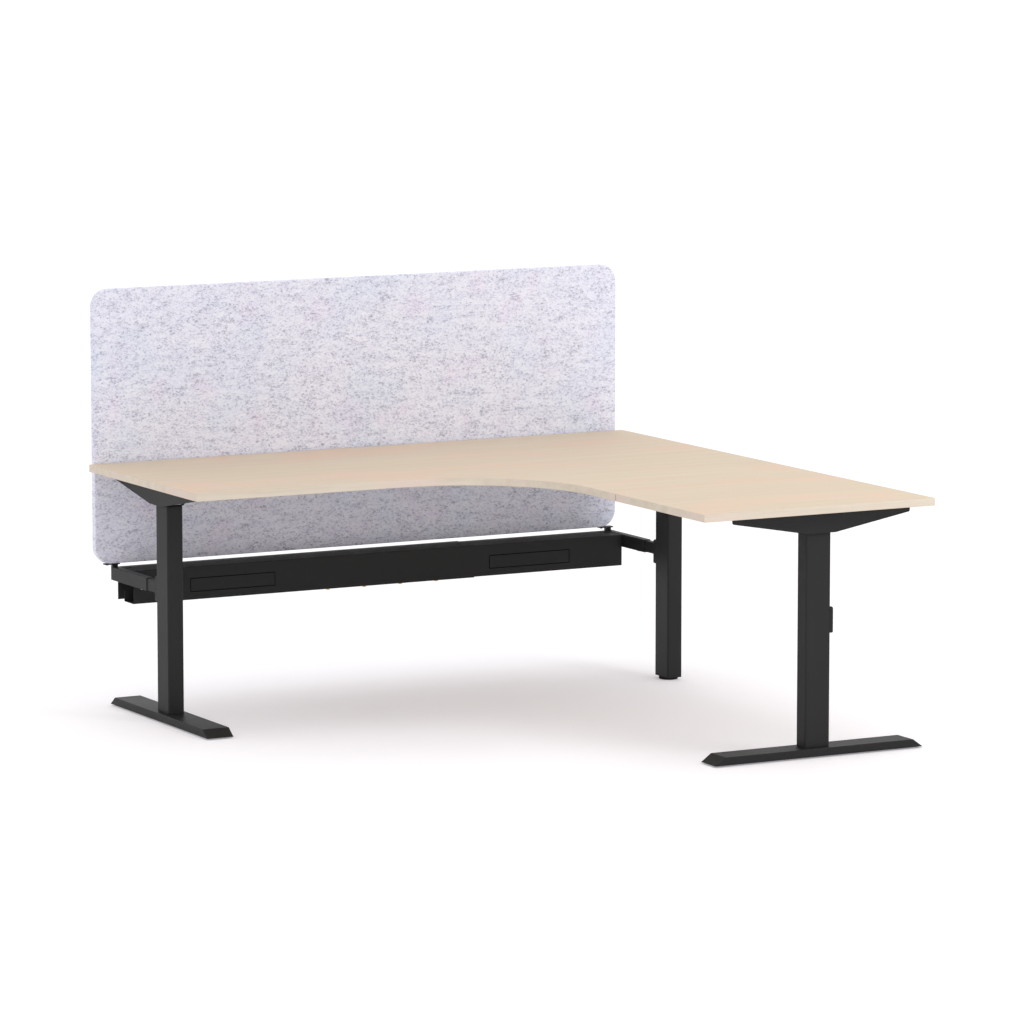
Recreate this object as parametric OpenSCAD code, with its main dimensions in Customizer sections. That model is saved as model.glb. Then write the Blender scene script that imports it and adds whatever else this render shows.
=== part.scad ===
// Corner workstation on three telescopic columns, with an acoustic screen and a cable tray.
// Millimetres, +Z up. The modules count from the back left corner of the worktop, with X to
// the right and Y to the back, and in_place() then centres the whole on its footprint.

/* [Worktop] */
// Length of the main board along the wall
main_l = 1800; // [1760:10:2000]
// Depth of the main board
main_d = 750; // [700:10:800]
// Length of the wing, counted from the back edge
wing_l = 1800; // [1700:10:2000]
// Depth of the wing, across
wing_d = 750; // [700:10:800]
// Distance from the back edge to the seam between the two boards
seam_from_back = 1300; // [1200:10:1380]
// Radius of the inner curve
inner_r = 400; // [200:10:440]
// Thickness of the boards
top_t = 22; // [18:1:28]
// Height of the working surface with the columns lowered
top_h = 725; // [700:5:760]

/* [Lift] */
// Travel of the worktop
travel = 470; // [400:10:480]
// Radius of the lifting spindles
spindle_r = 7; // [6:0.5:8]
// Running clearance of the spindles in their nuts and gearboxes
spindle_fit = 0.05; // [0.03:0.01:0.1]
// Wall of the push tubes that carry the nuts
push_wall = 2; // [1.5:0.5:3]
// Outer radius of the push tubes
push_r = 15; // [13:0.5:16]
// Height of the spindle nuts above their tubes
nut_h = 26; // [20:1:34]
// Length of the nut's spigot in the tube
nut_spigot = 10; // [6:1:16]
// Distance of the nuts below the rockers with the worktop lowered
nut_drop = 38; // [34:1:60]
// Length of spindle below its nut with the worktop raised
spindle_spare = 8; // [4:1:15]

/* [Gear motors] */
// Length of a gearbox
gear_l = 72; // [60:2:76]
// Width of a gearbox
gear_w = 50; // [44:1:54]
// Height of a gearbox
gear_h = 53; // [48:1:55]
// Radius of a motor
motor_r = 20; // [17:0.5:22]
// Length of a motor beyond its gearbox
motor_l = 104; // [80:2:115]
// Radius of the gearbox bolts
gear_bolt_r = 2.5; // [2:0.5:3]
// Distance between the gearbox bolts across the rocker
gear_bolt_across = 26; // [24:1:30]
// Distance between the gearbox bolts along the rocker
gear_bolt_along = 46; // [42:1:50]

/* [Columns] */
// Long side of a column
col_a = 80; // [72:1:85]
// Short side of a column
col_b = 50; // [49:1:56]
// Wall of the outer tubes
col_wall = 2; // [1.5:0.5:2.5]
// Outside corner radius of the outer tubes
col_r = 5; // [5:0.5:8]
// Space between the outer and the inner tubes
tube_space = 2; // [1.5:0.1:2.5]
// Wall of the inner tubes
inner_wall = 1.8; // [1.5:0.1:2]
// Clearance of the collars and bushes on the tube that slides past them
slide_gap = 0.2; // [0.1:0.05:0.3]
// Height of a collar's rim above the outer tube
collar_rim = 4; // [3:0.5:6]
// Depth of a collar inside the outer tube
collar_depth = 60; // [40:5:70]
// Visible length of the inner tubes with the worktop lowered
lowered_gap = 5; // [3:1:12]
// Height of the guide bushes
bush_h = 30; // [20:2:40]
// Thickness of the plate in the foot of a column
base_t = 8; // [7:1:12]
// Space between that plate and the inner tube with the worktop lowered
base_gap = 4; // [2:1:10]
// Left and wing columns: distance from the end of the worktop to the column's middle
leg_from_end = 106; // [95:1:130]
// Left and wing columns: distance from the back or outer edge to the column's middle
leg_from_back = 332; // [320:2:360]
// Corner column: distance from the outer edge to the column's middle
corner_from_end = 37; // [37:1:60]
// Corner column: distance from the back edge to the column's middle
corner_from_back = 359; // [340:1:380]

/* [Feet] */
// Length of a foot at the floor
foot_l = 680; // [600:2:700]
// Width of a foot
foot_w = 83; // [78:1:100]
// Height of a foot's section
foot_h = 23; // [20:0.5:30]
// Run of a foot's sloped ends
foot_slope = 32; // [20:1:45]
// Wall of the feet
foot_wall = 3; // [2.5:0.5:4]
// Height of the glides' discs under the feet
pad_h = 4.2; // [3:0.1:8]
// Radius of the glides' discs under the feet
pad_r = 21; // [16:1:24]
// Chamfer of the glides' discs
glide_chamfer = 1; // [0.5:0.1:1.2]
// Distance of a glide from the end of its foot
glide_in = 52; // [48:1:70]
// Radius of the bolts between the feet and the columns
foot_bolt_r = 4; // [3:0.5:4.5]
// Distance of those bolts from the sides of the column
foot_bolt_in = 11; // [10:0.5:13]
// Space between a foot's top wall and the stems of its glides
stem_gap = 1; // [0.5:0.5:3]
// Radius of the threaded stems of the glides
stem_r = 4; // [3.5:0.1:5]
// Clearance of the stems in their bores
stem_fit = 0.05; // [0.03:0.01:0.1]
// Wall of the threaded bosses round the stems
boss_wall = 5; // [3:0.5:8]
// Travel of the glides
level_travel = 12; // [8:1:13]
// Radius of the disc under the corner column
disc_r = 29; // [24:1:32]
// Height of the disc under the corner column
disc_h = 8; // [6:0.5:12]
// Space between a disc and what stands over it
glide_gap = 0.3; // [0.2:0.1:1]

/* [Rockers] */
// Reach of a rocker from the column's middle
rocker_reach = 290; // [270:1:310]
// Width of the left and the wing rocker
rocker_w = 82; // [68:1:84]
// Width of the corner rocker
corner_rocker_w = 64; // [60:1:68]
// Height of a rocker over its column
rocker_h = 62; // [60:1:68]
// Height of a rocker at its tips
rocker_tip_h = 18; // [15:1:24]
// Length of the flat bottom from the column's middle to the outer side
rocker_flat = 68; // [66:1:90]
// Wall of the rockers
rocker_wall = 3; // [2:0.5:3]
// Radius of the rounded lower edge at the tips
rocker_nose_r = 8; // [4:1:12]
// Distance of a rocker's wood screws from its sides
rocker_screw_side = 16; // [12:1:20]
// Distance of a rocker's wood screws from its tips
rocker_screw_end = 70; // [40:5:100]

/* [Rails] */
// Width of the rails under the boards
rail_w = 40; // [36:1:50]
// Height of the rails
rail_h = 30; // [28:1:32]
// Wall of the rails
rail_wall = 2; // [1.5:0.5:3]
// Distance between the middles of a pair of rails
rail_pitch = 160; // [156:2:180]
// Gap between the two pieces of a rail, over its sleeve
rail_gap = 60; // [20:5:100]
// Length of a rail sleeve
sleeve_l = 300; // [200:10:400]
// Play of a sleeve in its rail
sleeve_fit = 0.2; // [0.1:0.1:0.5]
// Thickness of the rails' end plates
end_plate_t = 4; // [3:0.5:6]
// Distance of the end screws from a rail's sides
end_screw_in = 9; // [9:0.5:12]
// Distance of a rail's wood screws from its end and from its sleeve
rail_screw_in = 140; // [100:5:180]
// Length of the joining plates under the seam
join_l = 140; // [100:5:160]
// Width of the joining plates
join_w = 70; // [50:5:80]
// Distance of the joining plates' middles from the wing's sides
join_in = 90; // [60:5:120]
// Corner radius of the joining plates
join_r = 8; // [3:1:12]

/* [Screws] */
// Radius of the machine screws in the frame
bolt_r = 3; // [2.5:0.5:3.5]
// Radius of the wood screws
wood_screw_r = 2; // [1.5:0.5:2.5]
// Depth of the wood screws in the boards
wood_screw_depth = 14; // [10:1:15]
// Height of the screw heads
head_h = 3; // [2:0.5:3.5]
// Length of a machine screw beyond what it holds
screw_end = 2; // [1:0.5:3]
// Clearance of the screws in their holes
screw_fit = 0.1; // [0.05:0.05:0.3]

/* [Screen] */
// Distance of the screen's ends from the ends of the worktop
screen_in = 20; // [0:5:30]
// Height of the screen
screen_h = 816; // [600:2:1000]
// Thickness of the screen
screen_t = 23; // [18:1:24]
// Radius of the screen's corners
screen_r = 52; // [30:1:60]
// Space between the worktop's back edge and the screen
screen_gap = 6; // [5:1:9]

/* [Cable tray] */
// Length of each half of the tray
tray_half_l = 1136; // [1100:2:1150]
// Depth of the tray, front to back
tray_w = 114; // [110:1:130]
// Reach of the tray behind the worktop's back edge
tray_rear = 32; // [28:1:40]
// Height of the tray
tray_h = 99; // [95:1:120]
// Height of the tray's upper face above the floor
tray_top = 411; // [395:1:430]
// Thickness of the tray's sheet
sheet = 1.5; // [1:0.1:2]
// Space between the nested halves
nest_gap = 0.1; // [0.05:0.05:0.3]
// Depth of the trough's floor
trough_w = 68; // [50:1:75]
// Height of the trough's lip
lip_h = 31; // [15:1:40]
// Width of an outlet plate
outlet_w = 280; // [200:5:300]
// Height of an outlet plate
outlet_h = 42; // [30:1:50]
// Distance of an outlet plate from the end of the tray
outlet_in = 184; // [150:2:220]
// Distance of an outlet plate from the bottom of the tray
outlet_up = 23; // [15:1:30]
// Gap round an outlet plate
outlet_gap = 1.2; // [0.8:0.1:2]
// Width of the rim behind an outlet plate
outlet_rim = 6; // [4:1:8]
// Distance between the splice screws
splice_pitch = 122; // [100:2:140]
// Number of the splice screws
splice_n = 4; // [2:1:4]
// Distance of the splice screws from the front of the tray
splice_in = 9; // [8:0.5:14]
// Length of the cable slots in the upper face
cable_slot_l = 22; // [16:1:30]
// Width of the cable slots in the upper face
cable_slot_w = 12; // [8:1:16]
// Distance of a cable slot's middle from the end of the tray
cable_slot_in = 14; // [12:1:20]
// Distance of a cable slot's middle from the rear of the tray
cable_slot_back = 47; // [40:1:60]
// Distance of the end tabs' screws from the front and the rear of the tray
tab_screw_in = 22; // [18:1:30]

/* [Arms] */
// Width of an arm's sleeve
arm_w = 22; // [20:1:24]
// Height of an arm's sleeve
arm_h = 39; // [34:1:44]
// Length of an arm's sleeve
arm_l = 254; // [230:2:270]
// Wall of the arms
arm_wall = 2; // [1.5:0.5:2.5]
// Distance of the corner arm's middle past the corner column's middle
corner_arm_shift = 3; // [0:1:8]
// Length of a slide inside its sleeve
arm_inside = 100; // [60:5:130]
// Height of the mounting blocks on the columns
block_h = 74; // [72:1:90]
// Width of the mounting blocks
block_w = 47; // [44:1:47]
// Thickness of the mounting blocks
block_t = 6; // [6:0.5:12]
// Radius of the blocks' corners
block_r = 6; // [3:1:10]
// Distance of a block's bolts from its upper and lower edge
block_bolt_in = 8.5; // [8:0.5:8.5]
// Thickness of the arms' end flanges
flange_t = 8; // [5:0.5:8]
// Thickness of the cap on the unused block
cap_t = 5; // [4:0.5:8]
// Height of the blocks' lower edge above the floor
block_z = 350; // [335:1:350]

/* [Screen brackets] */
// Width of a bracket's plate
bracket_w = 48; // [44:1:60]
// Thickness of a bracket's plate
bracket_t = 3; // [2:0.5:4]
// Distance of the plate's middle to the left of its post's middle
bracket_shift = 13; // [6:1:15]
// Width of a bracket's post
post_w = 17; // [17:1:20]
// Depth of a bracket's post
post_d = 14; // [13:1:16]
// Height of a bracket
bracket_h = 12.7; // [10:0.1:16]
// Distance between the two screws of a bracket in the screen
bracket_screw_pitch = 14; // [12:1:16]

/* [Controls] */
// Length of the control box
box_l = 250; // [200:5:300]
// Depth of the control box
box_w = 92; // [80:2:96]
// Height of the control box
box_h = 28; // [24:1:30]
// Distance of the control box from the left end of the worktop
box_in = 420; // [380:10:460]
// Corner radius of the control box
box_r = 5; // [2:1:8]
// Length of the tabs at the ends of the control box
box_tab_l = 14; // [12:1:20]
// Thickness of those tabs
box_tab_t = 3; // [2:0.5:4]
// Width of a socket in the control box
socket_w = 18; // [12:1:24]
// Height of a socket
socket_h = 12; // [8:1:16]
// Depth of a socket
socket_deep = 10; // [6:1:14]
// Distance between the sockets
socket_pitch = 42; // [30:1:44]
// Width of the handset
set_w = 84; // [76:1:100]
// Depth of the handset
set_d = 44; // [40:1:60]
// Height of the handset
set_h = 13; // [13:0.5:16]
// Distance of the handset from the front edge
set_back = 104; // [90:2:150]
// Distance of the handset from the left end of the worktop
set_in = 330; // [200:10:420]
// Wall of the handset
set_wall = 2; // [1.5:0.5:2.5]
// Corner radius of the handset
set_r = 7; // [4:1:10]
// Reach of the paddle out of the handset
paddle_out = 9; // [6:1:14]
// Distance of the pin behind the handset's front
pin_back = 14; // [12:1:18]
// Length of the paddle behind its pin
paddle_back = 6; // [5:1:8]
// Gap between the paddle's sides and the handset
paddle_gap = 0.6; // [0.4:0.1:1]
// Width of the paddle
paddle_w = 62; // [50:1:66]
// Thickness of the paddle
paddle_t = 4; // [3:0.5:4.5]
// Radius of the paddle's pin
pin_r = 1.5; // [1:0.25:2]
// Play of the pin in its bores
pin_fit = 0.05; // [0.03:0.01:0.1]

/* [Hidden] */
$fn = 32;

black = [0.16, 0.16, 0.17];
dark = [0.09, 0.09, 0.1];
zinc = [0.72, 0.71, 0.68];
brass_zinc = [0.78, 0.66, 0.36];
maple = [0.88, 0.81, 0.73];
felt = [0.8, 0.79, 0.84];

// Overshoot of cuts
cut = 1;
// Blind bores run this much deeper than their screws
bore_spare = 1;
half_turn = 180;
full_turn = 360;
LEFT = 0;
CORNER = 1;
WING = 2;
LEGS = [LEFT, CORNER, WING];
leg_x = [leg_from_end, main_l - corner_from_end, main_l - leg_from_back];
leg_y = [-leg_from_back, -corner_from_back, -wing_l + leg_from_end];
leg_turn = [0, 0, -90];

// Heights
under_top = top_h - top_t;
rocker_z = under_top - rocker_h;
col_top = rocker_z - lowered_gap - collar_rim;
foot_z = pad_h + glide_gap;
foot_top = foot_z + foot_h;
col_z = [foot_top, disc_h + glide_gap, foot_top];
inner_z = foot_top + base_t + base_gap;
inner_top = rocker_z;
nut_z = rocker_z - nut_drop - nut_h;
spindle_z = nut_z - nut_spigot - travel - spindle_spare;
gear_z = rocker_z + rocker_wall;
spindle_in_gear = 24;
spindle_hole_gap = 2;
gear_bolt_in = 8;
gear_r = 6;
motor_cap_l = 8;
motor_cap_r = 11;

// Sections of the tubes
inner_a = col_a - 2 * (col_wall + tube_space);
inner_b = col_b - 2 * (col_wall + tube_space);
inner_r_out = max(1, col_r - col_wall - tube_space);
hole_a = col_a - 2 * col_wall;
hole_b = col_b - 2 * col_wall;
hole_r = max(1, col_r - col_wall);

// Rocker widths, and where the rails meet the rockers
rocker_ws = [rocker_w, corner_rocker_w, rocker_w];
main_rail_x0 = leg_x[LEFT] + rocker_w / 2;
main_rail_x1 = leg_x[CORNER] - corner_rocker_w / 2;
main_rail_mid = (main_rail_x0 + main_rail_x1) / 2;
rail_y = [for (s = [-1, 1]) leg_y[LEFT] + s * rail_pitch / 2];
wing_rail_x = [for (s = [-1, 1]) leg_x[WING] + s * rail_pitch / 2];
wing_rail_y0 = leg_y[WING] + rocker_w / 2;
wing_rail_y1 = rail_y[0] - rail_w / 2;
wing_rail_mid = (wing_rail_y0 + wing_rail_y1) / 2;
rail_z = under_top - rail_h;
rail_hole_z = under_top - rail_h / 2;
rail_hole_half = rail_w / 2 - end_screw_in;
rail_screw_l = 12;

// Tray, arms and screen
tray_x0 = leg_x[LEFT] - col_b / 2 + arm_w;
tray_x1 = leg_x[CORNER] + corner_arm_shift - arm_w / 2;
tray_y0 = tray_rear - tray_w;
tray_z = tray_top - tray_h;
nest = sheet + nest_gap;
arm_x = [tray_x0 - arm_w / 2, tray_x1 + arm_w / 2];
arm_z = tray_top - arm_h;
arm_y0 = tray_rear - arm_l;
slide_w = arm_w - 2 * (arm_wall + slide_gap);
slide_h = arm_h - 2 * (arm_wall + slide_gap);
slide_z = arm_z + arm_wall + slide_gap;
arm_legs = [LEFT, CORNER];
block_bolt_dz = block_h / 2 - block_bolt_in;
end_tab_t = 3;
bracket_top = tray_top + bracket_h;
// The felt stands this far clear of its brackets
felt_gap = 0.3;
screen_z = bracket_top + felt_gap;
screen_w = main_l - 2 * screen_in;

// Footprint
near_x = min(0, leg_x[WING] - foot_l / 2);
far_x = max(main_l, leg_x[WING] + foot_l / 2);
rear_y = max(tray_rear, screen_gap + screen_t, leg_y[LEFT] + foot_l / 2);
front_y = -wing_l;

module in_place() {
  translate([-(near_x + far_x) / 2, -(front_y + rear_y) / 2, 0])
    children();
}

// A leg's own frame: the column's middle on the floor, +Y along the foot to the outer side
module at_leg(i) {
  translate([leg_x[i], leg_y[i], 0])
    rotate([0, 0, leg_turn[i]])
      children();
}

// Rectangle with round corners about the origin, x wide and y long
module round_rect(x, y, r) {
  dx = x / 2 - r;
  dy = y / 2 - r;
  union() {
    square([x, y - 2 * r], center = true);
    square([x - 2 * r, y], center = true);
    for (sx = [-1, 1], sy = [-1, 1])
      translate([sx * dx, sy * dy])
        circle(r = r);
  }
}

// Round rod along +Z
module rod(r, h) {
  cylinder(r = r, h = h);
}

// Screw along +Z, its head below the origin plane
module screw(r, l) {
  rod(r, l);
  translate([0, 0, -head_h])
    rod(2 * r, head_h);
}

// Feet

// Half the length of a foot at a height above its lower edge
function foot_half(z) = foot_l / 2 - foot_slope * z / foot_h;

// Side outline between two heights, its sloped ends drawn in by inset
module foot_outline(z0, z1, inset) {
  a = foot_half(z0) - inset;
  b = foot_half(z1) - inset;
  polygon([[-a, z0], [a, z0], [b, z1], [-b, z1]]);
}

// Side outline in Y and Z, w wide along X
module along_leg(w) {
  rotate([90, 0, 90])
    translate([0, 0, -w / 2])
      linear_extrude(w)
        children();
}

// Inverted tray with a threaded boss for each glide
module foot_shape() {
  glide_y = foot_l / 2 - glide_in;
  boss_r = stem_r + boss_wall;
  difference() {
    union() {
      difference() {
        along_leg(foot_w)
          foot_outline(0, foot_h, 0);
        along_leg(foot_w - 2 * foot_wall)
          foot_outline(-cut, foot_h - foot_wall, 2 * foot_wall);
      }
      for (s = [-1, 1])
        translate([0, s * glide_y, glide_gap])
          rod(boss_r, foot_h - foot_wall / 2 - glide_gap);
    }
    for (s = [-1, 1])
      translate([0, s * glide_y, -cut])
        rod(stem_r + stem_fit, foot_h - foot_wall + cut);
    foot_bolt_places()
      translate([0, 0, -cut])
        rod(foot_bolt_r + screw_fit, foot_h + 2 * cut);
  }
}

module foot_bolt_places() {
  for (sx = [-1, 1], sy = [-1, 1])
    translate([sx * (col_b / 2 - foot_bolt_in), sy * (col_a / 2 - foot_bolt_in), 0])
      children();
}

module foot(i) {
  at_leg(i)
    translate([0, 0, foot_z])
      foot_shape();
}

module left_foot() {
  color(black)
    in_place()
      foot(LEFT);
}

module wing_foot() {
  color(black)
    in_place()
      foot(WING);
}

// Bolts through the feet into the plates of the columns
module foot_bolts() {
  color(zinc)
    in_place()
      for (i = [LEFT, WING])
        at_leg(i)
          translate([0, 0, foot_top - foot_wall])
            foot_bolt_places()
              screw(foot_bolt_r, foot_wall + base_t - screw_end);
}

// Glides

module glide(disc_radius, disc_height, stem_top) {
  c = glide_chamfer;
  rotate_extrude()
    polygon([
      [0, 0], [disc_radius - c, 0], [disc_radius, c], [disc_radius, disc_height - c],
      [disc_radius - c, disc_height], [stem_r, disc_height], [stem_r, stem_top], [0, stem_top]
    ]);
}

module foot_glide(i, side) {
  color(dark)
    in_place()
      at_leg(i)
        translate([0, side * (foot_l / 2 - glide_in), 0])
          glide(pad_r, pad_h, foot_top - foot_wall - stem_gap);
}

module left_front_glide() {
  foot_glide(LEFT, -1);
}

module left_back_glide() {
  foot_glide(LEFT, 1);
}

module wing_inner_glide() {
  foot_glide(WING, -1);
}

module wing_outer_glide() {
  foot_glide(WING, 1);
}

module corner_glide() {
  color(dark)
    in_place()
      at_leg(CORNER)
        glide(disc_r, disc_h, col_z[CORNER] + base_t + level_travel);
}

// Columns

module column_tube(i) {
  base = col_z[i];
  difference() {
    translate([0, 0, base])
      linear_extrude(col_top - base)
        round_rect(col_b, col_a, col_r);
    translate([0, 0, base + base_t])
      linear_extrude(col_top)
        round_rect(hole_b, hole_a, hole_r);
    if (i == CORNER)
      translate([0, 0, base - cut])
        rod(stem_r + stem_fit, base_t + 2 * cut);
    else
      foot_bolt_places()
        translate([0, 0, base - cut])
          rod(foot_bolt_r + screw_fit, base_t);
    block_bolt_holes(i);
  }
}

// Bores for the bolts of the mounting blocks, on the column's outer side
module block_bolt_holes(i) {
  for (s = [-1, 1])
    translate([0, col_a / 2 + cut, block_z + block_h / 2 + s * block_bolt_dz])
      rotate([90, 0, 0])
        rod(bolt_r + screw_fit, col_wall + 2 * cut);
}

module left_column_tube() {
  color(black)
    in_place()
      at_leg(LEFT)
        column_tube(LEFT);
}

module corner_column_tube() {
  color(black)
    in_place()
      at_leg(CORNER)
        column_tube(CORNER);
}

module wing_column_tube() {
  color(black)
    in_place()
      at_leg(WING)
        column_tube(WING);
}

// Guide collar: a rim on top of the outer tube and a sleeve inside it
module collar() {
  difference() {
    union() {
      translate([0, 0, col_top])
        linear_extrude(collar_rim)
          round_rect(col_b, col_a, col_r);
      translate([0, 0, col_top - collar_depth])
        linear_extrude(collar_depth + cut)
          round_rect(hole_b - 2 * screw_fit, hole_a - 2 * screw_fit, hole_r);
    }
    translate([0, 0, col_top - collar_depth - cut])
      linear_extrude(collar_depth + collar_rim + 2 * cut)
        round_rect(inner_b + 2 * slide_gap, inner_a + 2 * slide_gap, inner_r_out);
  }
}

module column_collars() {
  color(dark)
    in_place()
      for (i = LEGS)
        at_leg(i)
          collar();
}

module inner_tube() {
  translate([0, 0, inner_z])
    linear_extrude(inner_top - inner_z)
      difference() {
        round_rect(inner_b, inner_a, inner_r_out);
        round_rect(inner_b - 2 * inner_wall, inner_a - 2 * inner_wall, inner_r_out / 2);
      }
}

module left_inner_tube() {
  color(black)
    in_place()
      at_leg(LEFT)
        inner_tube();
}

module corner_inner_tube() {
  color(black)
    in_place()
      at_leg(CORNER)
        inner_tube();
}

module wing_inner_tube() {
  color(black)
    in_place()
      at_leg(WING)
        inner_tube();
}

// Guide bushes on the lower ends of the inner tubes, in the outer tubes
module inner_bushes() {
  color(dark)
    in_place()
      for (i = LEGS)
        at_leg(i)
          translate([0, 0, inner_z])
            linear_extrude(bush_h)
              difference() {
                round_rect(hole_b - 2 * slide_gap, hole_a - 2 * slide_gap, hole_r);
                round_rect(inner_b + 2 * screw_fit, inner_a + 2 * screw_fit, inner_r_out);
              }
}

// Lifting gear

module push_tubes() {
  color(zinc)
    in_place()
      for (i = LEGS)
        at_leg(i)
          translate([0, 0, col_z[i] + base_t])
            difference() {
              rod(push_r, nut_z - col_z[i] - base_t);
              translate([0, 0, -cut])
                rod(push_r - push_wall, nut_z);
            }
}

module spindle_nuts() {
  color(felt)
    in_place()
      for (i = LEGS)
        at_leg(i)
          translate([0, 0, nut_z])
            difference() {
              union() {
                rod(push_r, nut_h);
                translate([0, 0, -nut_spigot])
                  rod(push_r - push_wall - spindle_fit, nut_spigot + cut);
              }
              translate([0, 0, -nut_spigot - cut])
                rod(spindle_r + spindle_fit, nut_h + nut_spigot + 2 * cut);
            }
}

module spindle(i) {
  color(zinc)
    in_place()
      at_leg(i)
        translate([0, 0, spindle_z])
          rod(spindle_r, gear_z + spindle_in_gear - spindle_z);
}

module left_spindle() {
  spindle(LEFT);
}

module corner_spindle() {
  spindle(CORNER);
}

module wing_spindle() {
  spindle(WING);
}

module gear_bolt_places() {
  for (sx = [-1, 1], sy = [-1, 1])
    translate([sx * gear_bolt_across / 2, sy * gear_bolt_along / 2, 0])
      children();
}

// Gearbox over the column with the motor lying in the rocker's long flat side
module gear_motor() {
  motor_z = gear_h - motor_r;
  can_l = motor_l - motor_cap_l;
  translate([0, 0, gear_z])
    difference() {
      union() {
        linear_extrude(gear_h)
          round_rect(gear_w, gear_l, gear_r);
        translate([0, gear_l / 2 - cut, motor_z])
          rotate([-90, 0, 0])
            rod(motor_r, can_l + cut);
        translate([0, gear_l / 2 + can_l - cut, motor_z])
          rotate([-90, 0, 0])
            rod(motor_cap_r, motor_cap_l + cut);
      }
      translate([0, 0, -cut])
        rod(spindle_r + spindle_fit, spindle_in_gear + 2 * cut);
      gear_bolt_places()
        translate([0, 0, -cut])
          rod(gear_bolt_r + screw_fit, gear_bolt_in + 2 * cut);
    }
}

module left_gear_motor() {
  color(zinc)
    in_place()
      at_leg(LEFT)
        gear_motor();
}

module corner_gear_motor() {
  color(zinc)
    in_place()
      at_leg(CORNER)
        gear_motor();
}

module wing_gear_motor() {
  color(zinc)
    in_place()
      at_leg(WING)
        gear_motor();
}

module gearbox_bolts() {
  color(zinc)
    in_place()
      for (i = LEGS)
        at_leg(i)
          translate([0, 0, rocker_z])
            gear_bolt_places()
              screw(gear_bolt_r, rocker_wall + gear_bolt_in);
}

// Rockers

function unit(v) = v / norm(v);

// Points of a fillet of radius r at corner c, on the way from point a to point b, turning
// the short way round
function fillet_points(a, c, b, r, n) =
  let (
    u = unit(a - c),
    v = unit(b - c),
    half = acos(u * v) / 2,
    o = c + unit(u + v) * r / sin(half),
    p = c + u * r / tan(half) - o,
    q = c + v * r / tan(half) - o,
    start = atan2(p[1], p[0]),
    swing = atan2(q[1], q[0]) - start + full_turn + half_turn,
    turn = swing % full_turn - half_turn
  )
  [for (k = [0:n]) o + r * [cos(start + turn * k / n), sin(start + turn * k / n)]];

// Side outline of a rocker: flat over the column and the motor, tapering to both tips
module rocker_outline() {
  top = rocker_h;
  tip = rocker_h - rocker_tip_h;
  floor_in = [-col_a / 2, 0];
  floor_out = [rocker_flat, 0];
  top_in = [-rocker_reach, top];
  top_out = [rocker_reach, top];
  polygon([
    top_in,
    each fillet_points(top_in, [-rocker_reach, tip], floor_in, rocker_nose_r, 6),
    floor_in,
    floor_out,
    each fillet_points(floor_out, [rocker_reach, tip], top_out, rocker_nose_r, 6),
    top_out
  ]);
}

// Inner space: open at both tips, and open below on both sides of the floor plate
module rocker_space() {
  wall = rocker_wall;
  half = rocker_reach + cut;
  floor_in = -col_a / 2 - wall;
  floor_out = rocker_flat + wall;
  difference() {
    translate([-half, -cut])
      square([2 * half, rocker_h - wall + cut]);
    translate([floor_in, -2 * cut])
      square([floor_out - floor_in, wall + 2 * cut]);
  }
}

module rocker(i) {
  w = rocker_ws[i];
  translate([0, 0, rocker_z])
    difference() {
      along_leg(w)
        rocker_outline();
      along_leg(w - 2 * rocker_wall)
        rocker_space();
      translate([0, 0, -cut])
        rod(spindle_r + spindle_hole_gap, rocker_wall + 2 * cut);
      gear_bolt_places()
        translate([0, 0, -cut])
          rod(gear_bolt_r + screw_fit, rocker_wall + 2 * cut);
      rocker_screw_places(i)
        translate([0, 0, rocker_h - rocker_wall - cut])
          rod(wood_screw_r + screw_fit, rocker_wall + 2 * cut);
    }
  }

module rocker_screw_places(i) {
  x = rocker_ws[i] / 2 - rocker_screw_side;
  y = rocker_reach - rocker_screw_end;
  for (sx = [-1, 1], sy = [-1, 1])
    translate([sx * x, sy * y, 0])
      children();
}

// Rockers carry the rail screws' bores in the side that faces the rails
module left_rocker() {
  color(black)
    in_place()
      difference() {
        at_leg(LEFT)
          rocker(LEFT);
        main_rail_ends(-1)
          rail_bores(rocker_wall);
      }
}

module corner_rocker() {
  color(black)
    in_place()
      difference() {
        at_leg(CORNER)
          rocker(CORNER);
        main_rail_ends(1)
          rail_bores(rocker_wall);
      }
}

module wing_rocker() {
  color(black)
    in_place()
      difference() {
        at_leg(WING)
          rocker(WING);
        wing_rail_ends(-1)
          rail_bores(rocker_wall);
      }
}

// Rails. Each end has its own frame: the end face at the origin, the rail along +X.

module main_rail_ends(side) {
  for (y = rail_y)
    translate([side < 0 ? main_rail_x0 : main_rail_x1, y, 0])
      rotate([0, 0, side < 0 ? 0 : 180])
        children();
}

module wing_rail_ends(side) {
  for (x = wing_rail_x)
    translate([x, side < 0 ? wing_rail_y0 : wing_rail_y1, 0])
      rotate([0, 0, side < 0 ? 90 : -90])
        children();
}

module rail_hole_places() {
  for (s = [-1, 1])
    translate([0, s * rail_hole_half, rail_hole_z])
      rotate([0, 90, 0])
        children();
}

// Bores from t before the end face to past the end plate
module rail_bores(t) {
  rail_hole_places()
    translate([0, 0, -t - cut])
      rod(bolt_r + screw_fit, t + end_plate_t + 2 * cut);
}

// Channel open below, w wide and h high under the plane at z
module channel(l, w, h, z) {
  difference() {
    translate([0, -w / 2, z - h])
      cube([l, w, h]);
    translate([-cut, -w / 2 + rail_wall, z - h - cut])
      cube([l + 2 * cut, w - 2 * rail_wall, h - rail_wall + cut]);
  }
}

module rail_screw_holes(l) {
  for (x = rail_screw_xs(l))
    translate([x, 0, rail_z])
      rod(wood_screw_r + screw_fit, rail_h + cut);
}

function rail_screw_xs(l) = [rail_screw_in, l - (sleeve_l - rail_gap) / 2 - rail_screw_in];

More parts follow.
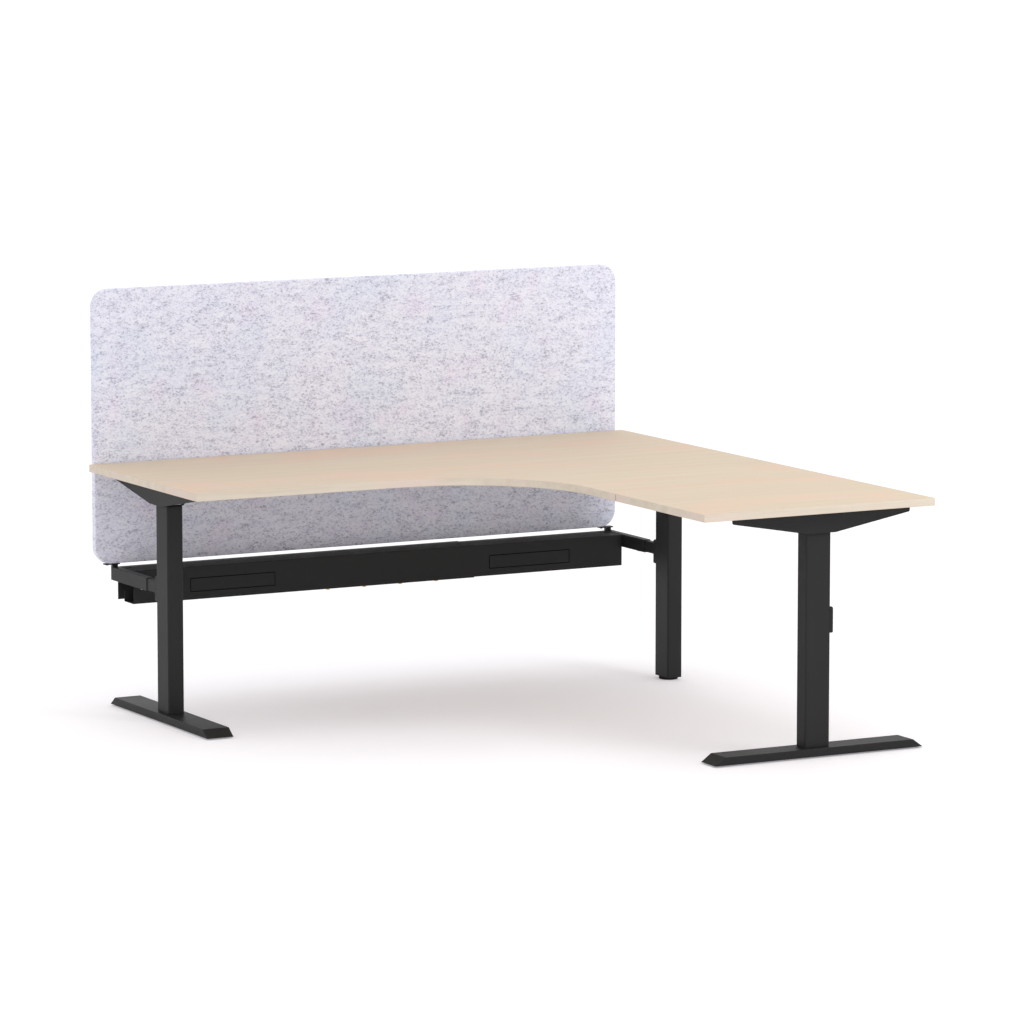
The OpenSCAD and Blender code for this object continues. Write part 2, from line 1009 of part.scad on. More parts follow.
// Screws through the rail's side into its sleeve
module sleeve_screw_place(l) {
  translate([l - (sleeve_l - rail_gap) / 4, -rail_w / 2, rail_hole_z])
    rotate([-90, 0, 0])
      children();
}

module rail(l) {
  difference() {
    union() {
      channel(l, rail_w, rail_h, under_top);
      translate([0, -rail_w / 2, rail_z])
        cube([end_plate_t, rail_w, rail_h]);
    }
    rail_bores(0);
    rail_screw_holes(l);
    sleeve_screw_place(l)
      translate([0, 0, -cut])
        rod(bolt_r + screw_fit, rail_wall + 2 * cut);
  }
}

main_rail_l = (main_rail_x1 - main_rail_x0 - rail_gap) / 2;
wing_rail_l = (wing_rail_y1 - wing_rail_y0 - rail_gap) / 2;

module main_rails_left() {
  color(black)
    in_place()
      main_rail_ends(-1)
        rail(main_rail_l);
}

// The front one of these two carries the ends of the wing rails
module main_rails_right() {
  color(black)
    in_place()
      difference() {
        main_rail_ends(1)
          rail(main_rail_l);
        wing_rail_ends(1)
          rail_bores(rail_wall);
      }
}

module wing_rails_front() {
  color(black)
    in_place()
      wing_rail_ends(-1)
        rail(wing_rail_l);
}

module wing_rails_back() {
  color(black)
    in_place()
      wing_rail_ends(1)
        rail(wing_rail_l);
}

module rail_sleeve() {
  inset = rail_wall + sleeve_fit;
  difference() {
    translate([-sleeve_l / 2, 0, 0])
      channel(sleeve_l, rail_w - 2 * inset, rail_h - inset, under_top - inset);
    for (s = [-1, 1])
      rotate([0, 0, s < 0 ? 0 : 180])
        translate([-rail_gap / 2 - (sleeve_l - rail_gap) / 4, -rail_w / 2, rail_hole_z])
          rotate([-90, 0, 0])
            rod(bolt_r + screw_fit, inset + rail_wall + cut);
  }
}

module rail_sleeves() {
  color(zinc)
    in_place() {
      for (y = rail_y)
        translate([main_rail_mid, y, 0])
          rail_sleeve();
      for (x = wing_rail_x)
        translate([x, wing_rail_mid, 0])
          rotate([0, 0, 90])
            rail_sleeve();
    }
}

// Screws from inside the rockers and the front rail into the rails' end plates
module rail_screws() {
  color(zinc)
    in_place() {
      for (side = [-1, 1])
        main_rail_ends(side)
          rail_end_screws(rocker_wall);
      wing_rail_ends(-1)
        rail_end_screws(rocker_wall);
      wing_rail_ends(1)
        rail_end_screws(rail_wall);
      for (side = [-1, 1]) {
        main_rail_ends(side)
          sleeve_screw(main_rail_l);
        wing_rail_ends(side)
          sleeve_screw(wing_rail_l);
      }
    }
}

module rail_end_screws(t) {
  rail_hole_places()
    translate([0, 0, -t])
      screw(bolt_r, rail_screw_l);
}

module sleeve_screw(l) {
  sleeve_screw_place(l)
    screw(bolt_r, 2 * rail_wall + sleeve_fit + screw_end);
}

// Worktop

module board_holes() {
  top_screw_places()
    translate([0, 0, under_top - cut])
      rod(wood_screw_r + screw_fit, wood_screw_depth + cut + bore_spare);
}

module main_top() {
  inner_x = main_l - wing_d;
  color(maple)
    in_place()
      difference() {
        translate([0, 0, under_top])
          linear_extrude(top_t)
            difference() {
              union() {
                translate([0, -main_d])
                  square([main_l, main_d]);
                translate([inner_x, -seam_from_back])
                  square([wing_d, seam_from_back]);
                translate([inner_x - inner_r, -main_d - inner_r])
                  square([inner_r + cut, inner_r + cut]);
              }
              translate([inner_x - inner_r, -main_d - inner_r])
                circle(r = inner_r, $fn = 120);
            }
        board_holes();
      }
}

module wing_top() {
  color(maple)
    in_place()
      difference() {
        translate([main_l - wing_d, -wing_l, under_top])
          cube([wing_d, wing_l - seam_from_back, top_t]);
        board_holes();
      }
}

// Plates under the seam
plate_x = [main_l - wing_d + join_in, main_l - join_in];

module plate_screw_places() {
  for (x = plate_x, sx = [-1, 1], sy = [-1, 1])
    translate([x + sx * join_w / 4, -seam_from_back + sy * join_l / 3, 0])
      children();
}

module joining_plates() {
  color(zinc)
    in_place()
      difference() {
        for (x = plate_x)
          translate([x, -seam_from_back, under_top - rail_wall])
            linear_extrude(rail_wall)
              round_rect(join_w, join_l, join_r);
        plate_screw_places()
          translate([0, 0, under_top - rail_wall - cut])
            rod(wood_screw_r + screw_fit, rail_wall + 2 * cut);
      }
}

module rail_top_screw_places() {
  for (side = [-1, 1]) {
    main_rail_ends(side)
      for (x = rail_screw_xs(main_rail_l))
        translate([x, 0, 0])
          children();
    wing_rail_ends(side)
      for (x = rail_screw_xs(wing_rail_l))
        translate([x, 0, 0])
          children();
  }
}

module all_rocker_screw_places() {
  for (i = LEGS)
    at_leg(i)
      rocker_screw_places(i)
        children();
}

module top_screw_places() {
  all_rocker_screw_places()
    children();
  rail_top_screw_places()
    children();
  plate_screw_places()
    children();
  box_screw_places()
    children();
  handset_screw_places()
    children();
}

// Wood screw whose head seats t below the boards
module wood_screw(t) {
  translate([0, 0, under_top - t])
    screw(wood_screw_r, wood_screw_depth + t);
}

module top_screws() {
  color(zinc)
    in_place() {
      all_rocker_screw_places()
        wood_screw(rocker_wall);
      rail_top_screw_places()
        wood_screw(rail_wall);
      plate_screw_places()
        wood_screw(rail_wall);
      box_screw_places()
        wood_screw(box_tab_t);
      handset_screw_places()
        wood_screw(set_wall);
    }
}

// Control box between the main rails, with sockets for three motors, handset and mains
box_x = box_in + box_l / 2;
box_y = leg_y[LEFT];
box_tab_w = box_w - box_r;

module box_screw_places() {
  for (sx = [-1, 1], sy = [-1, 1])
    translate([box_x + sx * (box_l + box_tab_l) / 2, box_y + sy * (box_tab_w - box_tab_l) / 2, 0])
      children();
}

module control_box() {
  color(dark)
    in_place()
      difference() {
        translate([box_x, box_y, 0])
          difference() {
            union() {
              translate([0, 0, under_top - box_h])
                linear_extrude(box_h)
                  round_rect(box_l, box_w, box_r);
              translate([0, 0, under_top - box_tab_t])
                linear_extrude(box_tab_t)
                  round_rect(box_l + 2 * box_tab_l, box_tab_w, box_r);
            }
            for (k = [-2:2])
              translate([k * socket_pitch, -box_w / 2 - cut, under_top - box_h / 2])
                translate([-socket_w / 2, 0, -socket_h / 2])
                  cube([socket_w, socket_deep + cut, socket_h]);
          }
        box_screw_places()
          translate([0, 0, under_top - box_tab_t - cut])
            rod(wood_screw_r + screw_fit, box_tab_t + 2 * cut);
      }
}

// Handset with a rocking paddle, under the front edge
set_x = set_in + set_w / 2;
set_front = -main_d + set_back;
set_mid_z = under_top - set_h / 2;
pin_y = set_front + pin_back;
paddle_l = paddle_out + pin_back + paddle_back;
paddle_r = 3;
// The pin's ends reach into the handset's cheeks, and the bores are deeper
pin_in = 3;
pin_bore_in = 4;
set_screw_side = 6;
set_screw_back = 8;

module handset_screw_places() {
  for (s = [-1, 1])
    translate([set_x + s * (set_w / 2 - set_screw_side), set_front + set_d - set_screw_back, 0])
      children();
}

module handset_body() {
  inner_h = set_h - 2 * set_wall;
  deep = pin_back + paddle_back + paddle_r;
  color(dark)
    in_place()
      difference() {
        translate([set_x, set_front + set_d / 2, under_top - set_h])
          linear_extrude(set_h)
            round_rect(set_w, set_d, set_r);
        translate([set_x - paddle_w / 2 - paddle_gap, set_front - cut, set_mid_z - inner_h / 2])
          cube([paddle_w + 2 * paddle_gap, deep + cut, inner_h]);
        translate([set_x - paddle_w / 2 - pin_bore_in, pin_y, set_mid_z])
          rotate([0, 90, 0])
            rod(pin_r + pin_fit, paddle_w + 2 * pin_bore_in);
        handset_screw_places()
          translate([0, 0, under_top - set_h - cut]) {
            rod(wood_screw_r + screw_fit, set_h + 2 * cut);
            rod(2 * wood_screw_r + 2 * screw_fit, set_h - set_wall + cut);
          }
      }
}

module handset_paddle() {
  color(black)
    in_place()
      union() {
        translate([set_x, set_front - paddle_out, set_mid_z - paddle_t / 2])
          linear_extrude(paddle_t)
            translate([0, paddle_l / 2])
              round_rect(paddle_w, paddle_l, paddle_r);
        translate([set_x - paddle_w / 2 - pin_in, pin_y, set_mid_z])
          rotate([0, 90, 0])
            rod(pin_r, paddle_w + 2 * pin_in);
      }
}

// Mounting blocks and arms

module block_outline() {
  round_rect(block_w, block_h, block_r);
}

// Plate upright on the column's outer side, its near face at distance d from the column
module on_column(d, t) {
  translate([0, col_a / 2 + d, block_z + block_h / 2])
    rotate([-90, 0, 0])
      linear_extrude(t)
        children();
}

module block_bolt_bores(t) {
  for (s = [-1, 1])
    translate([0, col_a / 2 - cut, block_z + block_h / 2 + s * block_bolt_dz])
      rotate([-90, 0, 0])
        rod(bolt_r + screw_fit, t + 2 * cut);
}

module column_blocks() {
  color(black)
    in_place()
      for (i = LEGS)
        at_leg(i)
          difference() {
            on_column(0, block_t)
              block_outline();
            block_bolt_bores(block_t);
          }
}

// Cap over the unused block of the wing column, with a stepped face
module spare_block_cap() {
  face_t = cap_t / 2;
  step = 2.5;
  color(dark)
    in_place()
      at_leg(WING)
        difference() {
          union() {
            on_column(block_t, cap_t - face_t + cut)
              block_outline();
            on_column(block_t + cap_t - face_t, face_t)
              round_rect(block_w - 2 * step, block_h - 2 * step, block_r - step / 2);
          }
          for (s = [-1, 1])
            translate([0, col_a / 2, block_z + block_h / 2 + s * block_bolt_dz])
              rotate([-90, 0, 0])
                rod(2 * bolt_r + screw_fit, block_t + head_h + screw_fit);
        }
}

// Bolts that hold the blocks, and on the arms' side also their flanges, on the columns
module block_bolts() {
  color(zinc)
    in_place()
      for (i = LEGS, s = [-1, 1])
        at_leg(i)
          translate([
            0,
            col_a / 2 + block_t + (i == WING ? 0 : flange_t),
            block_z + block_h / 2 + s * block_bolt_dz
          ])
            rotate([90, 0, 0])
              screw(bolt_r, block_t + col_wall - slide_gap + (i == WING ? 0 : flange_t));
}

// Slide of an arm, from its flange on the block into the sleeve
module arm_slide(k) {
  i = arm_legs[k];
  y0 = leg_y[i] + col_a / 2 + block_t;
  y1 = arm_y0 + arm_inside;
  color(black)
    in_place()
      difference() {
        union() {
          at_leg(i)
            on_column(block_t, flange_t)
              block_outline();
          translate([arm_x[k] - slide_w / 2, y0 + flange_t - cut, slide_z])
            cube([slide_w, y1 - y0 - flange_t + cut, slide_h]);
        }
        translate([arm_x[k] - slide_w / 2 + arm_wall, y0 + flange_t, slide_z + arm_wall])
          cube([slide_w - 2 * arm_wall, y1 - y0, slide_h - 2 * arm_wall]);
        at_leg(i)
          block_bolt_bores(block_t + flange_t);
        arm_screw_place(k, arm_y0 + arm_inside / 2)
          rod(bolt_r + screw_fit, arm_wall + slide_gap + arm_wall + 2 * cut);
      }
}

module left_arm_slide() {
  arm_slide(0);
}

module corner_arm_slide() {
  arm_slide(1);
}

// Place on the underside of an arm, +Z into it
module arm_screw_place(k, y) {
  translate([arm_x[k], y, arm_z])
    children();
}

// Screws from inside the tray's end tabs into the arm's inner wall
tab_screw_y = [tray_y0 + tab_screw_in, tray_rear - tab_screw_in];

module tab_screw_places(k) {
  for (y = tab_screw_y)
    translate([k == 0 ? tray_x0 : tray_x1, y, arm_z + arm_h / 2])
      rotate([0, k == 0 ? -90 : 90, 0])
        children();
}

module arm_sleeve(k) {
  color(black)
    in_place()
      difference() {
        translate([arm_x[k] - arm_w / 2, arm_y0, arm_z])
          cube([arm_w, arm_l, arm_h]);
        translate([arm_x[k] - arm_w / 2 + arm_wall, arm_y0 - cut, arm_z + arm_wall])
          cube([arm_w - 2 * arm_wall, arm_l - arm_wall + cut, arm_h - 2 * arm_wall]);
        arm_screw_place(k, arm_y0 + arm_inside / 2)
          translate([0, 0, -cut])
            rod(bolt_r + screw_fit, arm_wall + 2 * cut);
        tab_screw_places(k)
          translate([0, 0, -cut])
            rod(bolt_r + screw_fit, arm_wall + 2 * cut);
        bracket_screw_place(k)
          translate([0, 0, -arm_wall - cut])
            rod(bolt_r + screw_fit, arm_wall + 2 * cut);
      }
}

module left_arm_sleeve() {
  arm_sleeve(0);
}

module corner_arm_sleeve() {
  arm_sleeve(1);
}

module arm_screws() {
  color(zinc)
    in_place()
      for (k = [0, 1]) {
        arm_screw_place(k, arm_y0 + arm_inside / 2)
          screw(bolt_r, 2 * arm_wall + slide_gap + screw_end);
        tab_screw_places(k)
          translate([0, 0, -end_tab_t])
            screw(bolt_r, end_tab_t + arm_wall + screw_end);
      }
}

// Cable tray

// Section in Y and Z, drawn in by d for the half that nests inside
module tray_section(d) {
  y0 = tray_y0 + d;
  y1 = tray_rear - d;
  z0 = tray_z + d;
  z1 = tray_top - d;
  lip_y = tray_y0 + trough_w - d;
  difference() {
    translate([y0, z0])
      square([y1 - y0, z1 - z0]);
    translate([y0 + sheet, z0 + sheet])
      square([y1 - y0 - 2 * sheet, z1 - z0 - 2 * sheet]);
    translate([lip_y, z0 - cut])
      square([y1 - sheet - lip_y, sheet + 2 * cut]);
  }
  translate([lip_y - sheet, z0])
    square([sheet, lip_h - d]);
}

module tray_half(x, d) {
  end_x = d > 0 ? x + tray_half_l - end_tab_t : x;
  difference() {
    union() {
      translate([x, 0, 0])
        rotate([90, 0, 90])
          linear_extrude(tray_half_l)
            tray_section(d);
      translate([end_x, tray_y0 + d, arm_z])
        cube([end_tab_t, tray_w - 2 * d, arm_h - d]);
    }
    tab_screw_places(d > 0 ? 1 : 0)
      translate([0, 0, -end_tab_t - cut])
        rod(bolt_r + screw_fit, end_tab_t + 2 * cut);
    splice_places()
      translate([0, 0, -cut])
        rod(bolt_r + screw_fit, 2 * sheet + nest_gap + 2 * cut);
    for (k = [0, 1])
      outlet_opening(k);
    if (d > 0)
      outlet_relief();
    cable_slot(d > 0 ? 1 : 0);
  }
}

module tray_left_half() {
  color(black)
    in_place()
      tray_half(tray_x0, 0);
}

module tray_right_half() {
  color(black)
    in_place()
      tray_half(tray_x1 - tray_half_l, nest);
}

splice_mid = (tray_x0 + tray_x1) / 2;

module splice_places() {
  for (n = [0:splice_n - 1])
    translate([splice_mid + (n - (splice_n - 1) / 2) * splice_pitch, tray_y0 + splice_in, tray_z])
      children();
}

module splice_screws() {
  color(brass_zinc)
    in_place()
      splice_places()
        screw(bolt_r, 2 * sheet + nest_gap + screw_end);
}

// Left edge of an outlet plate
outlet_x = [tray_x0 + outlet_in, tray_x1 - outlet_in - outlet_w];

module outlet_opening(k) {
  translate([outlet_x[k], tray_y0 - cut, tray_z + outlet_up])
    cube([outlet_w, 2 * nest + sheet + cut, outlet_h]);
}

// Room for the left plate's rim where the nested half would run behind it
module outlet_relief() {
  r = outlet_rim + outlet_gap;
  translate([outlet_x[0] - r, tray_y0 - cut, tray_z + outlet_up - r])
    cube([outlet_w + 2 * r, 2 * nest + sheet + cut, outlet_h + 2 * r]);
}

// Plate flush in the tray's front wall, with a rim behind the wall
module outlet_plates() {
  rim_t = 1.2;
  color(black)
    in_place()
      for (k = [0, 1]) {
        front = tray_y0 + (k == 0 ? 0 : nest);
        translate([outlet_x[k] + outlet_gap, front, tray_z + outlet_up + outlet_gap])
          cube([outlet_w - 2 * outlet_gap, sheet + cut, outlet_h - 2 * outlet_gap]);
        translate([outlet_x[k] - outlet_rim, front + sheet, tray_z + outlet_up - outlet_rim])
          cube([outlet_w + 2 * outlet_rim, rim_t, outlet_h + 2 * outlet_rim]);
      }
}

// Oblong slot in the upper face beside the arm
module cable_slot(k) {
  x = k == 0 ? tray_x0 + cable_slot_in : tray_x1 - cable_slot_in;
  translate([x, tray_rear - cable_slot_back, tray_top - 2 * nest - sheet - cut])
    linear_extrude(2 * nest + sheet + 2 * cut)
      round_rect(cable_slot_l, cable_slot_w, cable_slot_w / 2 - screw_fit);
}

// Screen and its brackets

bracket_y = screen_gap + screen_t / 2;
post_x = [for (x = arm_x) x - arm_w / 2 + post_w / 2];
post_screw_y = tray_rear - arm_wall - 2 * bolt_r - 0.5;
post_screw_l = 7;
// The bracket's plate stays this far inside the screen's faces
plate_inset = 0.5;
plate_r = 3;

module bracket_screw_place(k) {
  translate([post_x[k], post_screw_y, tray_top])
    children();
}

module screen_screw_places(k) {
  for (x = [0, -bracket_screw_pitch])
    translate([post_x[k] - bracket_shift + x, bracket_y, bracket_top - bracket_t])
      children();
}

// Post on the arm's rear end and the plate under the screen
module screen_bracket(k) {
  color(black)
    in_place()
      difference() {
        union() {
          translate([post_x[k] - post_w / 2, tray_rear - post_d, tray_top])
            cube([post_w, post_d, bracket_h]);
          translate([post_x[k] - bracket_shift, bracket_y, bracket_top - bracket_t])
            linear_extrude(bracket_t)
              round_rect(bracket_w, screen_t - 2 * plate_inset, plate_r);
        }
        bracket_screw_place(k)
          translate([0, 0, -cut])
            rod(bolt_r + screw_fit, post_screw_l + 2 * cut);
        screen_screw_places(k)
          translate([0, 0, -cut])
            rod(wood_screw_r + screw_fit, bracket_t + 2 * cut);
      }
}

module left_screen_bracket() {
  screen_bracket(0);
}

module right_screen_bracket() {
  screen_bracket(1);
}

// Screws up into the posts from inside the arms, and up through the plates into the panel
module screen_screws() {
  color(zinc)
    in_place()
      for (k = [0, 1]) {
        bracket_screw_place(k)
          translate([0, 0, -arm_wall])
            screw(bolt_r, arm_wall + post_screw_l);
        screen_screw_places(k)
          screw(wood_screw_r, bracket_t + wood_screw_depth);
      }
}

module screen_panel() {
  color(felt)
    in_place()
      difference() {
        translate([main_l / 2, screen_gap + screen_t, screen_z + screen_h / 2])
          rotate([90, 0, 0])
            linear_extrude(screen_t)
              round_rect(screen_w, screen_h, screen_r);
        for (k = [0, 1])
          screen_screw_places(k)
            rod(wood_screw_r + screw_fit, bracket_t + wood_screw_depth + bore_spare);
      }
}

left_foot();
wing_foot();
left_column_tube();
corner_column_tube();
wing_column_tube();
column_collars();
push_tubes();
spindle_nuts();
foot_bolts();
column_blocks();
spare_block_cap();
left_arm_slide();
corner_arm_slide();
left_arm_sleeve();
corner_arm_sleeve();
arm_screws();
block_bolts();
tray_left_half();
tray_right_half();
splice_screws();
outlet_plates();
left_screen_bracket();
right_screen_bracket();
screen_screws();
screen_panel();
left_inner_tube();
corner_inner_tube();
wing_inner_tube();
inner_bushes();
left_rocker();
corner_rocker();
wing_rocker();
left_gear_motor();
corner_gear_motor();
wing_gear_motor();
gearbox_bolts();
main_rails_left();
main_rails_right();
wing_rails_front();
wing_rails_back();
rail_sleeves();
rail_screws();
main_top();
wing_top();
joining_plates();
top_screws();
control_box();
handset_body();
handset_paddle();
left_spindle();
corner_spindle();
wing_spindle();
left_front_glide();
left_back_glide();
wing_inner_glide();
wing_outer_glide();
corner_glide();
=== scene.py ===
"""Looks of the screened corner workstation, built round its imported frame. Metres, +Z up."""

import logging
import math
from dataclasses import dataclass
from enum import Enum
from functools import lru_cache
from typing import Callable, Iterable, Sequence

import bmesh
import bpy
from mathutils import Matrix, Vector


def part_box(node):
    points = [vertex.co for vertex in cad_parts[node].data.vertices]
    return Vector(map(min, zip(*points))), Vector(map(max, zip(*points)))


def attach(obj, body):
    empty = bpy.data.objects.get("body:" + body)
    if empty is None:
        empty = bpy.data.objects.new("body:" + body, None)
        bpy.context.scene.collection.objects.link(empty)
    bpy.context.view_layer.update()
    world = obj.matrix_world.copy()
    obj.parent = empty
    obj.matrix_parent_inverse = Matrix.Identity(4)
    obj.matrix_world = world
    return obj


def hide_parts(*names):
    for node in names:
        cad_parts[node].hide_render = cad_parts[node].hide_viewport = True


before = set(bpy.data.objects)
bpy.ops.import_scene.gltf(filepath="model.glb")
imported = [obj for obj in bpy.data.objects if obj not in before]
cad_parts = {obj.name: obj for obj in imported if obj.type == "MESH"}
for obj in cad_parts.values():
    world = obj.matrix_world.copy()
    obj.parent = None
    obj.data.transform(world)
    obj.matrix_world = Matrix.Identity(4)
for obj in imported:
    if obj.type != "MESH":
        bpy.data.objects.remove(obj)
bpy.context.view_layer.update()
LOG = logging.getLogger("workstation")

Colour = tuple[float, float, float]
Spot = tuple[float, float]
Grain = tuple[Colour | float, ...]
Face = bmesh.types.BMFace
Edge = bmesh.types.BMEdge
Vert = bmesh.types.BMVert
Socket = bpy.types.NodeSocket
FaceTest = Callable[[Face], bool]
EdgeTest = Callable[[Edge], bool]
TURN = 2 * math.pi
FACING = 0.9
CROSS_ARM = 0.22
ALONG = Vector((1, 0, 0))
UP = Vector((0, 0, 1))


class Signal:
    """A number that varies over a surface. Arithmetic on it adds Math nodes."""

    def __init__(self, socket: Socket) -> None:
        """Wraps an output socket."""
        self.socket = socket

    def _math(self, operation: str, first: "Signal | float", second: "Signal | float") -> "Signal":
        """Adds one Math node.

        Args:
            operation: the Math node's operation.
            first: the left operand.
            second: the right operand.

        Returns:
            The node's result.
        """
        tree = self.socket.id_data
        made = tree.nodes.new("ShaderNodeMath")
        made.operation = operation
        for place, value in enumerate((first, second)):
            if isinstance(value, Signal):
                tree.links.new(value.socket, made.inputs[place])
            else:
                made.inputs[place].default_value = value
        return Signal(made.outputs[0])

    def __add__(self, other: "Signal | float") -> "Signal":
        """This plus other."""
        return self._math("ADD", self, other)

    def __radd__(self, other: float) -> "Signal":
        """Other plus this."""
        return self._math("ADD", other, self)

    def __sub__(self, other: "Signal | float") -> "Signal":
        """This minus other."""
        return self._math("SUBTRACT", self, other)

    def __rsub__(self, other: float) -> "Signal":
        """Other minus this."""
        return self._math("SUBTRACT", other, self)

    def __mul__(self, other: "Signal | float") -> "Signal":
        """This times other."""
        return self._math("MULTIPLY", self, other)

    def __rmul__(self, other: float) -> "Signal":
        """Other times this."""
        return self._math("MULTIPLY", other, self)

    def at_most(self, ceiling: float) -> "Signal":
        """This, cut off above the ceiling."""
        return self._math("MINIMUM", self, ceiling)


class Recipe:
    """The node tree of one finish, with the few tools that every finish uses."""

    MIX_FACTOR = 0
    MIX_A = 6
    MIX_B = 7
    MIX_RESULT = 2
    SMOOTH = {"interpolation_type": "SMOOTHSTEP"}

    def __init__(self, tree: bpy.types.NodeTree) -> None:
        """Empties the tree and starts on it."""
        self.tree = tree
        tree.nodes.clear()

    def node(self, kind: str, settings: dict | None = None, values: dict | None = None) -> bpy.types.Node:
        """Adds one node of any kind.

        Args:
            kind: the node's type.
            settings: what is set on the node itself, and first.
            values: a number, a colour, a Signal or a socket for each input, by name or place.

        Returns:
            The new node.
        """
        made = self.tree.nodes.new(kind)
        for key, setting in (settings or {}).items():
            setattr(made, key, setting)
        for key, value in (values or {}).items():
            if isinstance(value, Signal):
                value = value.socket
            if isinstance(value, Socket):
                self.tree.links.new(value, made.inputs[key])
            else:
                made.inputs[key].default_value = value
        return made

    def place(self, stretch: Colour = (1.0, 1.0, 1.0)) -> Socket:
        """The point's place in metres, its axes multiplied by stretch."""
        spot = self.node("ShaderNodeTexCoord").outputs["Object"]
        return self.node("ShaderNodeMapping", values={"Vector": spot, "Scale": stretch}).outputs[0]

    def noise(
        self, size: Colour | float, detail: float = 2.0, rough: float = 0.5, swirl: float = 0.0
    ) -> Signal:
        """Cloudy noise from 0 to 1.

        Args:
            size: size of a cloud in metres, one number or one for each axis.
            detail: how many finer layers lie on it.
            rough: how strong the finer layers are.
            swirl: how far the clouds are drawn out into curls.

        Returns:
            The noise.
        """
        sizes = size if isinstance(size, tuple) else (size, size, size)
        spot = self.place(tuple(1 / s for s in sizes))
        values = {"Vector": spot, "Scale": 1.0, "Detail": detail, "Roughness": rough}
        values["Distortion"] = swirl
        return Signal(self.node("ShaderNodeTexNoise", values=values).outputs[0])

    def ramp(self, signal: Signal, stops: Sequence[tuple[float, Colour]]) -> Socket:
        """Turns a number into a colour.

        Args:
            signal: the number.
            stops: a position and a colour for each stop of the ramp.

        Returns:
            The colour.
        """
        made = self.node("ShaderNodeValToRGB", values={"Fac": signal})
        elements = made.color_ramp.elements
        while len(elements) < len(stops):
            elements.new(1.0)
        for element, (position, colour) in zip(elements, stops):
            element.position = position
            element.color = (*colour, 1.0)
        return made.outputs[0]

    def step(self, signal: Signal, low: float, high: float) -> Signal:
        """Rises smoothly from 0 at low to 1 at high."""
        values = {"Value": signal, "From Min": low, "From Max": high}
        return Signal(self.node("ShaderNodeMapRange", self.SMOOTH, values).outputs[0])

    def mix(
        self, factor: Signal | float, first: Socket | Colour, second: Socket | Colour, blend: str = "MIX"
    ) -> Socket:
        """Mixes two colours.

        Args:
            factor: share of the second colour.
            first: a colour or a colour socket.
            second: a colour or a colour socket.
            blend: the Mix node's way of blending.

        Returns:
            The mixed colour.
        """
        colours = [(*c, 1.0) if isinstance(c, tuple) else c for c in (first, second)]
        values = {self.MIX_FACTOR: factor, self.MIX_A: colours[0], self.MIX_B: colours[1]}
        settings = {"data_type": "RGBA", "blend_type": blend}
        return self.node("ShaderNodeMix", settings, values).outputs[self.MIX_RESULT]

    def bump(self, height: Signal, depth: float, strength: float = 1.0) -> Socket:
        """Relief from a height between 0 and 1, depth metres deep."""
        values = {"Height": height, "Distance": depth, "Strength": strength}
        return self.node("ShaderNodeBump", values=values).outputs[0]

    def shade(self, values: dict) -> None:
        """Ends a material's tree in its shader.

        Args:
            values: the shader's inputs, by name.
        """
        shader = self.node("ShaderNodeBsdfPrincipled", values=values)
        self.node("ShaderNodeOutputMaterial", values={"Surface": shader.outputs[0]})


@dataclass(frozen=True)
class Finish:
    """A finish, known by its name. Each kind paints its own tree."""

    name: str

    def paint(self, recipe: Recipe) -> None:
        """Adds the finish's nodes to the recipe."""
        raise NotImplementedError


@lru_cache(maxsize=None)
def material(finish: Finish) -> bpy.types.Material:
    """The one material of a finish.

    Args:
        finish: the finish to paint.

    Returns:
        Its material, the same each time.
    """
    made = bpy.data.materials.new(finish.name)
    made.use_nodes = True
    finish.paint(Recipe(made.node_tree))
    return made


@dataclass(frozen=True)
class Skin(Finish):
    """A fine grain and slow clouds in one colour. As it stands it is baked powder coat on steel."""

    tone: Colour = (0.0145, 0.0145, 0.0150)
    lift: Colour = (0.0195, 0.0195, 0.0200)
    metallic: float = 0.0
    roughness: float = 0.48
    specular: float = 0.26
    grain: Grain = (0.0011, 3.0, 0.6)
    grain_gloss: float = 0.16
    cloud: Grain = (0.14, 3.0, 0.5)
    cloud_gloss: float = 0.10
    depth: float = 0.00005

    def paint(self, recipe: Recipe) -> None:
        """The grain in the relief, the clouds in the colour and both in the gloss.

        Args:
            recipe: the tree to add them to.
        """
        grain = recipe.noise(*self.grain)
        clouds = recipe.noise(*self.cloud)
        gloss = self.grain_gloss * (grain - 0.5) + self.cloud_gloss * (clouds - 0.5)
        recipe.shade({
            "Base Color": recipe.mix(clouds, self.tone, self.lift),
            "Metallic": self.metallic,
            "Roughness": self.roughness + gloss,
            "Specular IOR Level": self.specular,
            "Normal": recipe.bump(grain, self.depth),
        })


@dataclass(frozen=True)
class Moulding(Skin):
    """Moulded plastic or rubber with the fine texture of its mould."""

    tone: Colour = (0.012, 0.012, 0.013)
    lift: Colour = (0.016, 0.016, 0.017)
    roughness: float = 0.5
    grain: Grain = (0.0006, 2.0, 0.5)
    grain_gloss: float = 0.1
    cloud: Grain = (0.03, 2.0, 0.5)
    depth: float = 0.00003


@dataclass(frozen=True)
class PlatedSteel(Skin):
    """Plated steel with the drift of the bath in its colour and fine scratches for a grain."""

    tone: Colour = (0.50, 0.50, 0.49)
    lift: Colour = (0.66, 0.66, 0.64)
    metallic: float = 1.0
    roughness: float = 0.30
    specular: float = 0.5
    grain: Grain = ((0.0008, 0.02, 0.0008), 2.0, 0.5)
    grain_gloss: float = 0.12
    cloud: Grain = (0.012, 4.0, 0.6)
    cloud_gloss: float = 0.22
    depth: float = 0.00002


